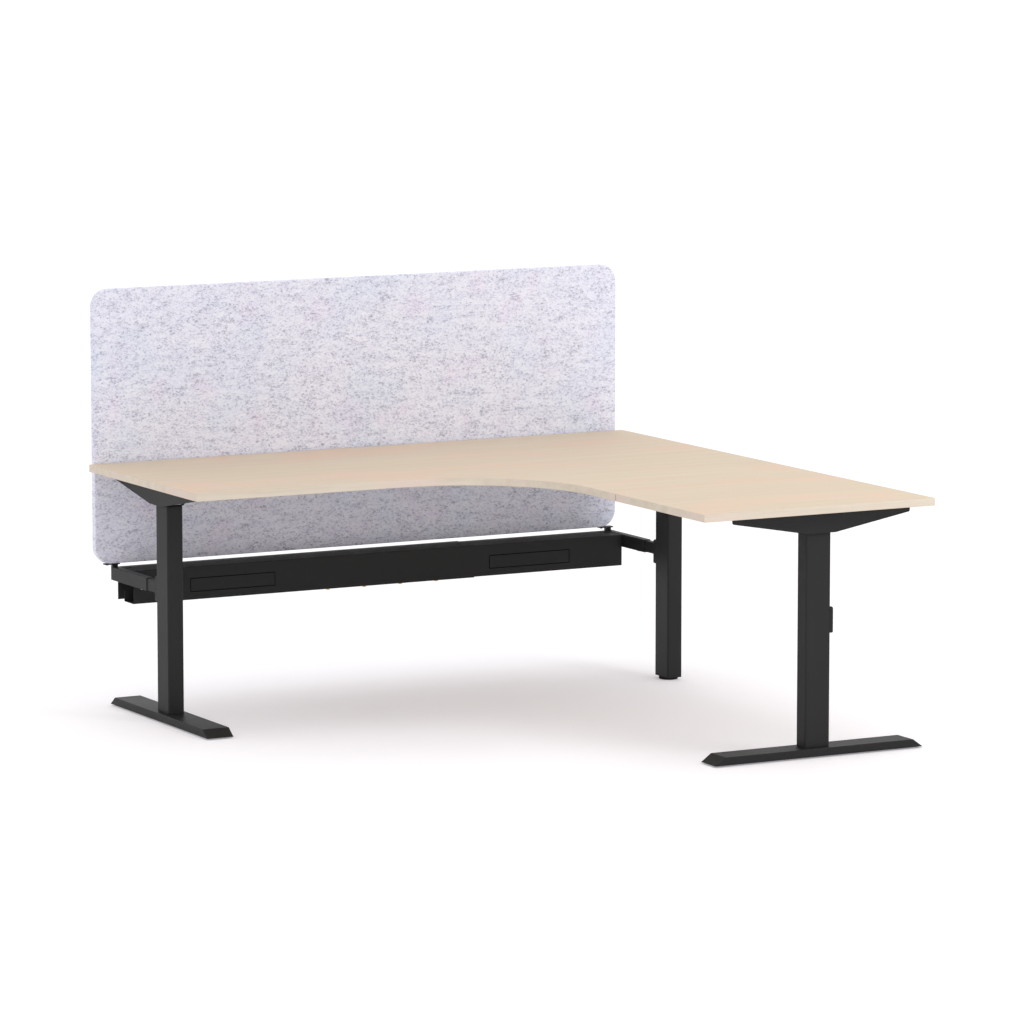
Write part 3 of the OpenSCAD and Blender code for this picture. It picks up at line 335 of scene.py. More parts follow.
@dataclass(frozen=True)
class DieCasting(Skin):
    """Die-cast light metal, blasted satin, with darker flow marks for clouds."""

    tone: Colour = (0.42, 0.42, 0.43)
    lift: Colour = (0.55, 0.55, 0.56)
    metallic: float = 0.9
    roughness: float = 0.46
    specular: float = 0.5
    grain: Grain = (0.0014, 3.0, 0.65)
    grain_gloss: float = 0.2
    cloud: Grain = (0.02, 3.0, 0.5)
    cloud_gloss: float = 0.0
    depth: float = 0.0001


@dataclass(frozen=True)
class MapleLaminate(Finish):
    """Matt pale maple laminate, its grain along X."""

    pale: Colour = (0.700, 0.587, 0.444)
    deep: Colour = (0.662, 0.538, 0.396)
    flush: Colour = (0.730, 0.540, 0.410)
    hollow: Colour = (0.36, 0.26, 0.18)
    flame: Grain = ((0.90, 0.034, 0.034), 3.0, 0.55, 0.4)
    fibre: Grain = ((0.13, 0.0036, 0.0036), 4.0, 0.6)
    pore: Grain = ((0.014, 0.0011, 0.0011), 1.0)
    patch: Grain = ((0.42, 0.17, 0.17), 2.0)
    flame_share: float = 0.70
    patch_share: float = 0.80
    pore_share: float = 0.08
    roughness: float = 0.52
    specular: float = 0.30
    depth: float = 0.00002

    def paint(self, recipe: Recipe) -> None:
        """Broad flames, fine fibres and short pores, under a faint pink flush.

        Args:
            recipe: the tree to add them to.
        """
        flames = recipe.noise(*self.flame)
        fibres = recipe.noise(*self.fibre)
        pores = recipe.step(recipe.noise(*self.pore), 0.62, 0.80)
        blush = recipe.step(recipe.noise(*self.patch), 0.48, 0.66)
        grain = self.flame_share * flames + (1 - self.flame_share) * fibres
        wood = recipe.mix(recipe.step(grain, 0.32, 0.68), self.pale, self.deep)
        flushed = recipe.mix(self.patch_share * blush, wood, self.flush)
        recipe.shade({
            "Base Color": recipe.mix(self.pore_share * pores, flushed, self.hollow),
            "Roughness": self.roughness + 0.10 * (fibres - 0.5),
            "Specular IOR Level": self.specular,
            "Normal": recipe.bump(fibres - 0.4 * pores, self.depth),
        })


@dataclass(frozen=True)
class MelangeFelt(Finish):
    """Pressed felt of pale lavender fibres with darker grey ones that lie mostly level."""

    pale: Colour = (0.925, 0.930, 1.0)
    middle: Colour = (0.822, 0.828, 0.965)
    deep: Colour = (0.400, 0.400, 0.480)
    pink: Colour = (1.0, 0.955, 0.980)
    blue: Colour = (0.955, 0.985, 1.0)
    curl: Grain = ((0.0130, 0.0130, 0.0062), 2.0, 0.65, 1.4)
    fleck: Grain = ((0.0085, 0.0085, 0.0050), 2.0, 0.7, 0.5)
    drift: Grain = ((0.050, 0.050, 0.020), 2.0, 0.5)
    fluff: Grain = (0.0016, 2.0, 0.6)
    pink_patch: Grain = (0.11, 1.0)
    blue_patch: Grain = (0.187, 1.0)
    roughness: float = 0.95
    sheen: float = 0.12
    depth: float = 0.0005

    def paint(self, recipe: Recipe) -> None:
        """Curled dark fibres, flecks and slow drifts, over pink and blue patches.

        Args:
            recipe: the tree to add them to.
        """
        curls, flecks, drifts, fluff = (
            recipe.noise(*grain) for grain in (self.curl, self.fleck, self.drift, self.fluff)
        )
        blend = 0.42 * curls + 0.40 * flecks + 0.18 * drifts
        stops = [(0.365, self.deep), (0.495, self.middle), (0.605, self.pale)]
        wool = recipe.ramp(blend + 0.14 * (fluff - 0.5), stops)
        rosy = recipe.step(recipe.noise(*self.pink_patch), 0.54, 0.76)
        cool = recipe.step(recipe.noise(*self.blue_patch), 0.48, 0.70)
        warm = recipe.mix(rosy, wool, self.pink, "MULTIPLY")
        recipe.shade({
            "Base Color": recipe.mix(cool, warm, self.blue, "MULTIPLY"),
            "Roughness": self.roughness,
            "Specular IOR Level": 0.15,
            "Sheen Weight": self.sheen,
            "Sheen Roughness": 0.5,
            "Normal": recipe.bump(0.5 * fluff + 0.5 * flecks, self.depth, 0.6),
        })


FRAME_COAT = Skin("frame_black")
TRAY_COAT = Skin(
    "tray_black",
    tone=(0.0285, 0.0285, 0.0290),
    lift=(0.0315, 0.0315, 0.0320),
    roughness=0.62,
    specular=0.14,
)
PLASTIC = Moulding("black_plastic")
# Near-black finish for the sides and rim of the outlet plates: painted shade in the gap round each plate.
GAP_SHADE = Moulding("painted_gap_shade", tone=(0.002, 0.002, 0.002), lift=(0.003, 0.003, 0.003), specular=0.02)
RUBBER = Moulding("glide_rubber", tone=(0.010, 0.010, 0.010), roughness=0.72, grain=(0.0009, 2.0, 0.5))
NYLON = Moulding("nut_plastic", tone=(0.70, 0.69, 0.64), lift=(0.76, 0.75, 0.70), roughness=0.42)
ZINC = PlatedSteel("zinc_steel")
YELLOW_ZINC = PlatedSteel("yellow_zinc", tone=(0.62, 0.42, 0.14), lift=(0.72, 0.55, 0.26))
CASTING = DieCasting("motor_casting")
MAPLE = MapleLaminate("maple_laminate")
MAPLE_EDGE = MapleLaminate(
    "maple_edge", pale=(0.765, 0.675, 0.57), deep=(0.68, 0.59, 0.475), flush=(0.765, 0.63, 0.55)
)
# Darker finish for the edge band's faces at the seam between the boards: the board's core at the band's
# cut ends, darkened further as painted shade in the seam's groove.
CORE_AND_SEAM_SHADE = MapleLaminate(
    "board_core_seam_shade", pale=(0.42, 0.34, 0.25), deep=(0.30, 0.23, 0.16), flush=(0.40, 0.30, 0.22)
)
BOARD_FINISHES = (MAPLE, MAPLE_EDGE, CORE_AND_SEAM_SHADE)
FELT = MelangeFelt("grey_felt")


class Plane(Enum):
    """Plane that an outline is drawn in, as the axes of its two numbers and of its depth."""

    LEVEL = (0, 1, 2)
    SIDE = (1, 2, 0)
    FRONT = (0, 2, 1)

    def point(self, across: float, along: float, depth: float) -> Vector:
        """The point in space of a spot in the plane at a depth."""
        places = dict(zip(self.value, (across, along, depth)))
        return Vector([places[axis] for axis in range(3)])


@dataclass(frozen=True)
class Rounding:
    """How far some corners of an outline are rounded off."""

    corners: tuple[int, ...]
    reach: float
    steps: int = 8


def rectangle(low: Spot, high: Spot) -> list[Spot]:
    """The corners of a rectangle, in turn."""
    return [low, (high[0], low[1]), high, (low[0], high[1])]


def all_round(reach: float, steps: int = 8) -> list[Rounding]:
    """The same rounding for all four corners of a rectangle."""
    return [Rounding((0, 1, 2, 3), reach, steps)]


def put(name: str, data: bpy.types.ID) -> bpy.types.Object:
    """Puts an object into the scene.

    Args:
        name: its name.
        data: its mesh, light or camera.

    Returns:
        The object.
    """
    thing = bpy.data.objects.new(name, data)
    bpy.context.scene.collection.objects.link(thing)
    return thing


class Blank:
    """A piece on the bench: its mesh, and the cuts, folds and softenings made to it."""

    MERGE = 1e-6
    CREASE = math.radians(35.0)
    FLAT = math.radians(1.0)
    LEAST_CORNER = 0.0005
    BEVEL = {"offset_type": "OFFSET", "profile": 0.5, "clamp_overlap": False, "material": -1}

    def __init__(self) -> None:
        """Starts with nothing."""
        self.mesh = bmesh.new()

    @classmethod
    def copy_of(cls, node: str) -> "Blank":
        """A merged copy of a CAD node, its flat faces whole again.

        Args:
            node: the CAD node.

        Returns:
            The blank.
        """
        blank = cls()
        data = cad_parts[node].data.copy()
        for attribute in [a for a in data.attributes if a.name == "custom_normal"]:
            data.attributes.remove(attribute)
        blank.mesh.from_mesh(data)
        bpy.data.meshes.remove(data)
        bmesh.ops.remove_doubles(blank.mesh, verts=blank.mesh.verts, dist=cls.MERGE)
        bmesh.ops.dissolve_limit(
            blank.mesh, angle_limit=cls.FLAT, verts=blank.mesh.verts, edges=blank.mesh.edges
        )
        return blank

    def outline(
        self, spots: Sequence[Spot], plane: Plane, depth: float, rounds: Iterable[Rounding] = ()
    ) -> Face:
        """Draws a flat outline and rounds its corners, on a blank without faces.

        Args:
            spots: its corners in the plane.
            plane: the plane it is drawn in.
            depth: where the plane lies.
            rounds: which corners are rounded, and how far.

        Returns:
            The outline's face.
        """
        corners = [self.mesh.verts.new(plane.point(a, b, depth)) for a, b in spots]
        self.mesh.faces.new(corners)
        for rounding in rounds:
            bmesh.ops.bevel(
                self.mesh,
                geom=[corners[i] for i in rounding.corners],
                offset=rounding.reach,
                segments=rounding.steps,
                affect="VERTICES",
                **self.BEVEL,
            )
        return self.mesh.faces[:][0]

    def prism(
        self,
        spots: Sequence[Spot],
        plane: Plane,
        low: float,
        high: float,
        rounds: Iterable[Rounding] = (),
    ) -> "Blank":
        """Starts with a solid: an outline pushed out from low to high.

        Args:
            spots: the outline's corners.
            plane: the plane it is drawn in.
            low: depth where it starts.
            high: depth where it ends.
            rounds: which corners are rounded, and how far.

        Returns:
            The blank itself.
        """
        self._push([self.outline(spots, plane, low, rounds)], plane.point(0, 0, high - low))
        return self.turn_out()

    def _push(self, faces: list[Face], way: Vector) -> None:
        """Extrudes faces.

        Args:
            faces: the faces.
            way: how far they go.
        """
        made = bmesh.ops.extrude_face_region(self.mesh, geom=faces, use_keep_orig=True)
        verts = [g for g in made["geom"] if isinstance(g, Vert)]
        bmesh.ops.translate(self.mesh, vec=way, verts=verts)

    def draw_out(
        self, edges: list[Edge], way: Vector, twist: Matrix | None = None
    ) -> list[Edge]:
        """Extrudes a line or ring of edges.

        Args:
            edges: the edges.
            way: how far they go.
            twist: how they turn about the Z axis on the way, or None.

        Returns:
            The edges at the new end.
        """
        made = bmesh.ops.extrude_edge_only(self.mesh, edges=edges)
        verts = [g for g in made["geom"] if isinstance(g, Vert)]
        if twist is not None:
            bmesh.ops.rotate(self.mesh, cent=(0, 0, 0), matrix=twist, verts=verts)
        bmesh.ops.translate(self.mesh, vec=way, verts=verts)
        ends = [g for g in made["geom"] if isinstance(g, Edge)]
        return [edge for edge in ends if all(vert in verts for vert in edge.verts)]

    def turn_out(self) -> "Blank":
        """Turns all the faces outwards."""
        bmesh.ops.recalc_face_normals(self.mesh, faces=self.mesh.faces)
        return self

    def tube(self, size: Spot, wall: float, corner: float, low: float, high: float) -> "Blank":
        """Starts with an upright tube with round corners about the Z axis, both ends open.

        Args:
            size: its outside size along X and Y.
            wall: its wall.
            corner: its outside corner radius.
            low: height of its lower end.
            high: height of its upper end.

        Returns:
            The blank itself.
        """
        rings = []
        for inset in (0.0, wall):
            half = (size[0] / 2 - inset, size[1] / 2 - inset)
            spots = rectangle((-half[0], -half[1]), half)
            rounds = all_round(max(corner - inset, self.LEAST_CORNER))
            face = self.outline(spots, Plane.LEVEL, low, rounds)
            rings.append(list(face.edges))
            self.mesh.faces.remove(face)
        made = bmesh.ops.bridge_loops(self.mesh, edges=rings[0] + rings[1])
        self._push(made["faces"], UP * (high - low))
        return self.turn_out()

    def spun(self, profile: Sequence[Spot], middle: Vector, way: Vector, steps: int) -> "Blank":
        """Starts with a turned shape.

        Args:
            profile: radius and height of each point, from one end of the axis to the other.
            middle: where the axis starts.
            way: the way it points, one long.
            steps: faces round it.

        Returns:
            The blank itself.
        """
        side = way.orthogonal().normalized()
        verts = [self.mesh.verts.new(middle + side * r + way * h) for r, h in profile]
        edges = [self.mesh.edges.new(pair) for pair in zip(verts, verts[1:])]
        bmesh.ops.spin(
            self.mesh, geom=verts + edges, cent=middle, axis=way, angle=TURN, steps=steps, use_merge=True
        )
        bmesh.ops.remove_doubles(self.mesh, verts=self.mesh.verts, dist=self.MERGE)
        return self.turn_out()

    def open(self, test: FaceTest) -> "Blank":
        """Takes away some faces.

        Args:
            test: says which.

        Returns:
            The blank itself.
        """
        self.mesh.normal_update()
        gone = [face for face in self.mesh.faces if test(face)]
        bmesh.ops.delete(self.mesh, geom=gone, context="FACES")
        return self

    def shell(self, wall: float) -> "Blank":
        """Gives the open skin a wall on its inner side."""
        bmesh.ops.solidify(self.mesh, geom=self.mesh.faces[:], thickness=wall)
        return self

    def soften(
        self,
        width: float,
        steps: int = 2,
        sharper: float = 30.0,
        shortest: float = 0.0,
        only: EdgeTest = lambda edge: True,
    ) -> "Blank":
        """Rounds off edges.

        Args:
            width: how far the rounding reaches on each face.
            steps: faces across the rounding.
            sharper: degrees past which an edge counts as sharp.
            shortest: length under which an edge is left as it is.
            only: a further test of each edge.

        Returns:
            The blank itself.
        """
        edges = [
            edge
            for edge in self.mesh.edges
            if len(edge.link_faces) == 2
            and edge.calc_face_angle(0.0) > math.radians(sharper)
            and edge.calc_length() > shortest
            and only(edge)
        ]
        bmesh.ops.bevel(
            self.mesh, geom=edges, offset=width, segments=steps, affect="EDGES", **self.BEVEL
        )
        return self

    def split(self, spot: Vector, normal: Vector) -> None:
        """Cuts every face along the plane through a spot that is square to the normal."""
        parts = [*self.mesh.verts, *self.mesh.edges, *self.mesh.faces]
        bmesh.ops.bisect_plane(self.mesh, geom=parts, plane_co=spot, plane_no=normal, dist=self.MERGE)

    def paint(self, index: int, test: FaceTest) -> "Blank":
        """Gives some faces another of the piece's finishes.

        Args:
            index: the finish's place among them.
            test: says which faces.

        Returns:
            The blank itself.
        """
        self.mesh.normal_update()
        for face in self.mesh.faces:
            if test(face):
                face.material_index = index
        return self

    def join(self, other: "Blank", where: Matrix | None = None) -> "Blank":
        """Adds another blank, which is used up.

        Args:
            other: the blank to add.
            where: where it goes, or None for where it is.

        Returns:
            The blank itself.
        """
        if where is not None:
            other.mesh.transform(where)
        carrier = bpy.data.meshes.new("carrier")
        other.mesh.to_mesh(carrier)
        other.mesh.free()
        self.mesh.from_mesh(carrier)
        bpy.data.meshes.remove(carrier)
        return self

    def carve(self, cutter: "Blank") -> "Blank":
        """Takes the cutter's volume out of the piece.

        Args:
            cutter: the solid to take out, which is used up.

        Returns:
            The blank itself.
        """
        things = []
        for bench in (self.mesh, cutter.mesh):
            data = bpy.data.meshes.new("carving")
            bench.to_mesh(data)
            things.append(put("carving", data))
        cut = things[0].modifiers.new("cut", "BOOLEAN")
        cut.operation = "DIFFERENCE"
        cut.solver = "EXACT"
        cut.object = things[1]
        shaped = things[0].evaluated_get(bpy.context.evaluated_depsgraph_get())
        self.mesh.clear()
        self.mesh.from_mesh(shaped.to_mesh())
        shaped.to_mesh_clear()
        for thing in things:
            data = thing.data
            bpy.data.objects.remove(thing)
            bpy.data.meshes.remove(data)
        cutter.mesh.free()
        return self

    def finish(
        self, node: str, body: str, *finishes: Finish, where: Matrix | None = None, name: str = ""
    ) -> None:
        """Takes the piece off the bench and hangs it on its body.

        Args:
            node: the CAD node it stands for.
            body: the CAD body it rides on.
            finishes: its finishes, the first for every face that has no other.
            where: where it goes, or None for where it is.
            name: its name, or nothing for the node's with "_piece".
        """
        name = name or f"{node}_piece"
        if where is not None:
            self.mesh.transform(where)
        data = bpy.data.meshes.new(name)
        self.mesh.to_mesh(data)
        self.mesh.free()
        for finish in finishes:
            data.materials.append(material(finish))
        data.shade_smooth()
        data.set_sharp_from_angle(angle=self.CREASE)
        thing = put(name, data)
        evened = thing.modifiers.new("even_shading", "WEIGHTED_NORMAL")
        evened.keep_sharp = True
        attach(thing, body)
        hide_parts(node)
        LOG.info("%s: %d faces on %s", name, len(data.polygons), body)


def dress(node: str, finish: Finish) -> None:
    """Gives a CAD node that stays in view its finish.

    Args:
        node: the CAD node.
        finish: its finish.
    """
    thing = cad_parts[node]
    if not thing.material_slots:
        thing.data.materials.append(None)
    for place in thing.material_slots:
        place.material = material(finish)
    LOG.info("%s: dressed", node)


def soften_node(node: str, body: str, finish: Finish, width: float = 0.0006) -> None:
    """Replaces a rigid CAD node by the same shape with its long edges rounded off."""
    Blank.copy_of(node).soften(width, shortest=0.004).finish(node, body, finish)


@dataclass(frozen=True)
class Leg:
    """One column's own frame: its middle on the floor, +Y along the foot to the outer side."""

    name: str
    turn: float

    def place(self) -> Matrix:
        """Where the leg's frame lies in the row frame.

        Returns:
            The matrix from the one to the other.
        """
        low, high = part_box(f"{self.name}_column_tube")
        middle = (low + high) / 2
        spot = Matrix.Translation((middle.x, middle.y, 0.0))
        return spot @ Matrix.Rotation(math.radians(self.turn), 4, "Z")

    def box(self, node: str) -> tuple[Vector, Vector]:
        """The box of a CAD node in the leg's frame.

        Args:
            node: the node.

        Returns:
            Its lowest and highest corner.
        """
        back = self.place().inverted()
        ends = [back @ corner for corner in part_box(node)]
        return Vector(map(min, *ends)), Vector(map(max, *ends))


LEGS = (Leg("left", 0.0), Leg("corner", 0.0), Leg("wing", -90.0))
FOOTED_LEGS = (LEGS[0], LEGS[2])


@dataclass
class Worktop:
    """The two boards, with their edge bands."""

    depth: float = 0.750
    curve: float = 0.400
    edge: float = 0.0012
    seam_edge: float = 0.0003
    seam_corner: float = 0.0014
    curve_steps: int = 48
    band_tilt: float = 0.7

    def build(self) -> None:
        """Builds both boards."""
        low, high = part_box("main_top")
        wing_low, wing_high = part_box("wing_top")
        front = high.y - self.depth
        seam = low.y
        main = [
            (low.x, front),
            (wing_low.x, front),
            (wing_low.x, seam),
            (high.x, seam),
            (high.x, high.y),
            (low.x, high.y),
        ]
        inner = [Rounding((1,), self.curve, self.curve_steps)]
        board = Blank().prism(main, Plane.LEVEL, low.z, high.z, inner)
        self._band(board, seam).finish("main_top", "lift", *BOARD_FINISHES, name="main_board")
        wing = rectangle((wing_low.x, wing_low.y), (wing_high.x, wing_high.y))
        board = Blank().prism(wing, Plane.LEVEL, wing_low.z, wing_high.z)
        self._band(board, seam).finish("wing_top", "lift", *BOARD_FINISHES, name="wing_board")

    def _band(self, board: Blank, seam: float) -> Blank:
        """Rounds a board's edges, less at the seam, and paints its edge band, darker at the seam: core
        colour at the band's cut ends and painted shade in the seam's groove.

        Args:
            board: the board.
            seam: where the seam lies along Y.

        Returns:
            The board.
        """

        def at_seam(edge: Edge) -> bool:
            """True for an edge that lies in the seam."""
            return all(abs(vert.co.y - seam) < Blank.MERGE for vert in edge.verts)

        def upright(edge: Edge) -> bool:
            """True for an upright edge."""
            return abs(edge.verts[0].co.z - edge.verts[1].co.z) > self.depth / 100

        board.soften(self.seam_corner, 2, only=lambda edge: at_seam(edge) and upright(edge))
        board.soften(self.edge, 3, only=lambda edge: not at_seam(edge) and not upright(edge))
        board.soften(self.seam_edge, 2, only=at_seam)
        board.paint(1, lambda face: abs(face.normal.z) < self.band_tilt)
        # The band's faces at the seam take the darker third finish: the core at the cut ends, and painted
        # shade in the seam's groove.
        reach = self.seam_corner * 1.01
        return board.paint(
            2,
            lambda face: face.material_index == 1
            and all(abs(vert.co.y - seam) < reach for vert in face.verts),
        )


@dataclass
class Screen:
    """The upright felt panel and the two brackets under it."""

    corner: float = 0.052
    edge: float = 0.003
    corner_steps: int = 16

    def build(self) -> None:
        """Builds the panel and the brackets."""
        low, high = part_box("screen_panel")
        spots = rectangle((low.x, low.z), (high.x, high.z))
        rounds = all_round(self.corner, self.corner_steps)
        panel = Blank().prism(spots, Plane.FRONT, low.y, high.y, rounds)
        panel.soften(self.edge, 4)
        panel.finish("screen_panel", "base", FELT, name="felt_panel")
        for side in ("left", "right"):
            soften_node(f"{side}_screen_bracket", "base", FRAME_COAT)


@dataclass
class Column:
    """A telescopic column: outer tube, inner tube and spindle."""

    leg: Leg
    wall: float = 0.0020
    corner: float = 0.005
    inner_wall: float = 0.0018
    inner_corner: float = 0.001
    plate: float = 0.008
    rim: float = 0.0005
    starts: int = 4
    lead: float = 0.020
    thread_depth: float = 0.0011
    ring_step: float = 0.0025
    facets: int = 8
    groove: tuple[int, ...] = (4, 5, 6)

    def build(self) -> None:
        """Builds the column's pieces."""
        self._outer()
        self._inner()
        self._spindle()

    def _outer(self) -> None:
        """The outer tube with the plate welded in its foot."""
        node = f"{self.leg.name}_column_tube"
        low, high = self.leg.box(node)
        tube = Blank().tube(high.xy - low.xy, self.wall, self.corner, low.z, high.z)
        tube.soften(self.rim, 2, sharper=60.0)
        half = (high.x - self.wall, high.y - self.wall)
        spots = rectangle((-half[0], -half[1]), half)
        rounds = all_round(self.corner - self.wall)
        tube.join(Blank().prism(spots, Plane.LEVEL, low.z, low.z + self.plate, rounds))
        name = f"{self.leg.name}_outer_tube"
        tube.finish(node, "base", FRAME_COAT, where=self.leg.place(), name=name)

    def _inner(self) -> None:
        """The inner tube that slides in it."""
        node = f"{self.leg.name}_inner_tube"
        low, high = self.leg.box(node)
        tube = Blank().tube(high.xy - low.xy, self.inner_wall, self.inner_corner, low.z, high.z)
        tube.finish(node, "lift", FRAME_COAT, where=self.leg.place())

    def _spindle(self) -> None:
        """The lifting spindle, its thread cut as a twisted star."""
        node = f"{self.leg.name}_spindle"
        low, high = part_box(node)
        radius = (high.x - low.x) / 2
        blank = Blank()
        sides = self.facets * self.starts
        made = bmesh.ops.create_circle(blank.mesh, cap_ends=False, radius=radius, segments=sides)
        for place, vert in enumerate(made["verts"]):
            if place % self.facets in self.groove:
                vert.co *= 1 - self.thread_depth / radius
        rings = round((high.z - low.z) / self.ring_step)
        rise = (high.z - low.z) / rings
        twist = Matrix.Rotation(TURN * rise / self.lead, 3, "Z")
        edges = blank.mesh.edges[:]
        bmesh.ops.contextual_create(blank.mesh, geom=edges)
        for _ in range(rings):
            edges = blank.draw_out(edges, UP * rise, twist)
        bmesh.ops.contextual_create(blank.mesh, geom=edges)
        blank.turn_out()
        middle = (low + high) / 2
        where = Matrix.Translation((middle.x, middle.y, low.z))
        blank.finish(node, f"{self.leg.name}_screw", ZINC, where=where)


@dataclass
class ColumnFittings:
    """The collars and guide bushes of all three columns, the blocks on them and the cap."""

    rim_height: float = 0.0058
    sleeve_depth: float = 0.060
    play: float = 0.0001
    slide: float = 0.0002
    rim_edge: float = 0.0008
    block_edge: float = 0.0010
    cap_edge: float = 0.0008

    def build(self) -> None:
        """Builds the fittings."""
        collars, bushes = Blank(), Blank()
        for leg in LEGS:
            collars.join(self._collar(leg), leg.place())
            bushes.join(self._bush(leg), leg.place())
        collars.finish("column_collars", "base", PLASTIC, name="collars")
        bushes.finish("inner_bushes", "lift", PLASTIC, name="guide_bushes")
        soften_node("column_blocks", "base", FRAME_COAT, self.block_edge)
        soften_node("spare_block_cap", "base", PLASTIC, self.cap_edge)
        for node, finish in (("push_tubes", ZINC), ("spindle_nuts", NYLON)):
            dress(node, finish)

    def _collar(self, leg: Leg) -> Blank:
        """A collar: its rim on the outer tube and its sleeve in it.

        Args:
            leg: the column's leg.

        Returns:
            The collar in the leg's frame.
        """
        low, high = leg.box(f"{leg.name}_column_tube")
        inner_low, inner_high = leg.box(f"{leg.name}_inner_tube")
        outside = high.xy - low.xy
        wall = (outside.x - (inner_high.x - inner_low.x + 2 * self.slide)) / 2
        rim = Blank().tube(outside, wall, Column.corner, high.z, high.z + self.rim_height)
        start = high.z + self.rim_edge
        rim.soften(self.rim_edge, 3, sharper=60.0, only=lambda edge: edge.verts[0].co.z > start)
        inset = Column.wall + self.play
        sleeve = outside - 2 * Vector((inset, inset))
        foot = high.z - self.sleeve_depth
        return rim.join(Blank().tube(sleeve, wall - inset, Column.corner - inset, foot, high.z))

    def _bush(self, leg: Leg) -> Blank:
        """The guide bush on the lower end of the inner tube.

        Args:
            leg: the column's leg.

        Returns:
            The bush in the leg's frame.
        """
        low, high = leg.box(f"{leg.name}_column_tube")
        inner_low, inner_high = leg.box(f"{leg.name}_inner_tube")
        inset = Column.wall + self.slide
        size = (high.x - low.x - 2 * inset, high.y - low.y - 2 * inset)
        wall = (size[0] - (inner_high.x - inner_low.x)) / 2 - self.play
        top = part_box("inner_bushes")[1].z
        return Blank().tube(size, wall, Column.corner - inset, inner_low.z, top)


@dataclass
class Foot:
    """A foot: a flat inverted tray with sloped ends, and a boss for each of its two glides."""

    leg: Leg
    slope: float = 0.032
    wall: float = 0.003
    edge: float = 0.0012
    boss: float = 0.009
    boss_gap: float = 0.0003
    boss_edge: float = 0.0005
    glide_in: float = 0.052

    def build(self) -> None:
        """Builds the foot."""
        node = f"{self.leg.name}_foot"
        low, high = self.leg.box(node)
        spots = [
            (low.y, low.z),
            (high.y, low.z),
            (high.y - self.slope, high.z),
            (low.y + self.slope, high.z),
        ]
        foot = Blank().prism(spots, Plane.SIDE, low.x, high.x)
        foot.open(lambda face: face.normal.z < -FACING)
        foot.shell(self.wall)
        for vert in foot.mesh.verts:
            vert.co.z = max(vert.co.z, low.z)
        top = high.z - self.wall / 2
        foot.soften(self.edge, 3, only=lambda edge: max(v.co.z for v in edge.verts) > top)
        height = high.z - low.z - self.wall
        profile = [
            (0.0, self.boss_gap),
            (self.boss - self.boss_edge, self.boss_gap),
            (self.boss, self.boss_gap + self.boss_edge),
            (self.boss, height),
            (0.0, height),
        ]
        for y in (low.y + self.glide_in, high.y - self.glide_in):
            middle = Vector(((low.x + high.x) / 2, y, low.z))
            foot.join(Blank().spun(profile, middle, UP, 24))
        foot.finish(node, "base", FRAME_COAT, where=self.leg.place())


@dataclass
class Glides:
    """The levelling glides: a chamfered disc under a threaded stem."""

    stem: float = 0.004
    stem_edge: float = 0.0005
    lip: float = 0.0010
    disc: float = 0.0042
    corner_disc: float = 0.008

    def build(self) -> None:
        """Builds all five."""
        for name in ("left_front", "left_back", "wing_inner", "wing_outer", "corner"):
            self._glide(f"{name}_glide")

    def _glide(self, node: str) -> None:
        """One glide, from its node's box.

        Args:
            node: the node, which is also its body.
        """
        low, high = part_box(node)
        radius = (high.x - low.x) / 2
        disc = self.corner_disc if node == "corner_glide" else self.disc
        middle = Vector(((low.x + high.x) / 2, (low.y + high.y) / 2, low.z))
        lip = self.lip
        profile = [
            (0.0, 0.0),
            (radius - 1.4 * lip, 0.0),
            (radius - 0.4 * lip, 0.4 * lip),
            (radius, 1.4 * lip),
            (radius, disc - lip),
            (radius - 0.3 * lip, disc - 0.3 * lip),
            (radius - lip, disc),
            (self.stem, disc),
            (self.stem, high.z - low.z - self.stem_edge),
            (self.stem - self.stem_edge, high.z - low.z),
            (0.0, high.z - low.z),
        ]
        Blank().spun(profile, middle, UP, 48).finish(node, node, RUBBER)


@dataclass
class Rocker:
    """A rocker: a pressed channel under the board, tapering to both open tips."""

    leg: Leg
    wall: float = 0.003
    sag: float = 0.0025
    tip: float = 0.0214
    flat: float = 0.048
    front_tip: float = 0.0214
    front_flat: float = 0.048
    nose: float = 0.005
    bend: float = 0.012
    edge: float = 0.0009

    def build(self) -> None:
        """Builds the rocker."""
        node = f"{self.leg.name}_rocker"
        low, high = self.leg.box(node)
        base = low.z - self.sag
        spots = [
            (low.y, high.z),
            (low.y, high.z - self.front_tip),
            (-self.front_flat, base),
            (self.flat, base),
            (high.y, high.z - self.tip),
            (high.y, high.z),
        ]
        nose = [Rounding((1, 4), self.nose, 8)]
        rocker = Blank().prism(spots, Plane.SIDE, low.x, high.x, nose)
        self._lift_inner_web(rocker, low, high)
        rocker.open(self._left_out)
        rocker.shell(self.wall).soften(self.edge, 2)
        rocker.finish(node, "lift", FRAME_COAT, where=self.leg.place())

    def _lift_inner_web(self, rocker: Blank, low: Vector, high: Vector) -> None:
        """Bends up the lower edge of the web on the user's side.

        Args:
            rocker: the solid rocker.
            low: its lowest corner.
            high: its highest corner.
        """
        way = 1 if self.leg.name == "left" else -1
        inside = high.x if way > 0 else low.x
        rocker.split(ALONG * (inside - way * self.bend), ALONG)
        for vert in rocker.mesh.verts:
            if abs(vert.co.x - inside) < Blank.MERGE and vert.co.z < high.z - self.bend / 2:
                vert.co.z += self.bend
        rocker.mesh.normal_update()

    def _left_out(self, face: Face) -> bool:
        """True for a face under an arm or at its tip, where the pressing is open."""
        on_floor = -self.front_flat < face.calc_center_median().y < self.flat
        return abs(face.normal.x) < FACING and face.normal.z < FACING and not on_floor


LEFT_ROCKER = Rocker(LEGS[0], front_tip=0.018, front_flat=0.036)
ROCKERS = (LEFT_ROCKER, Rocker(LEGS[1]), Rocker(LEGS[2]))


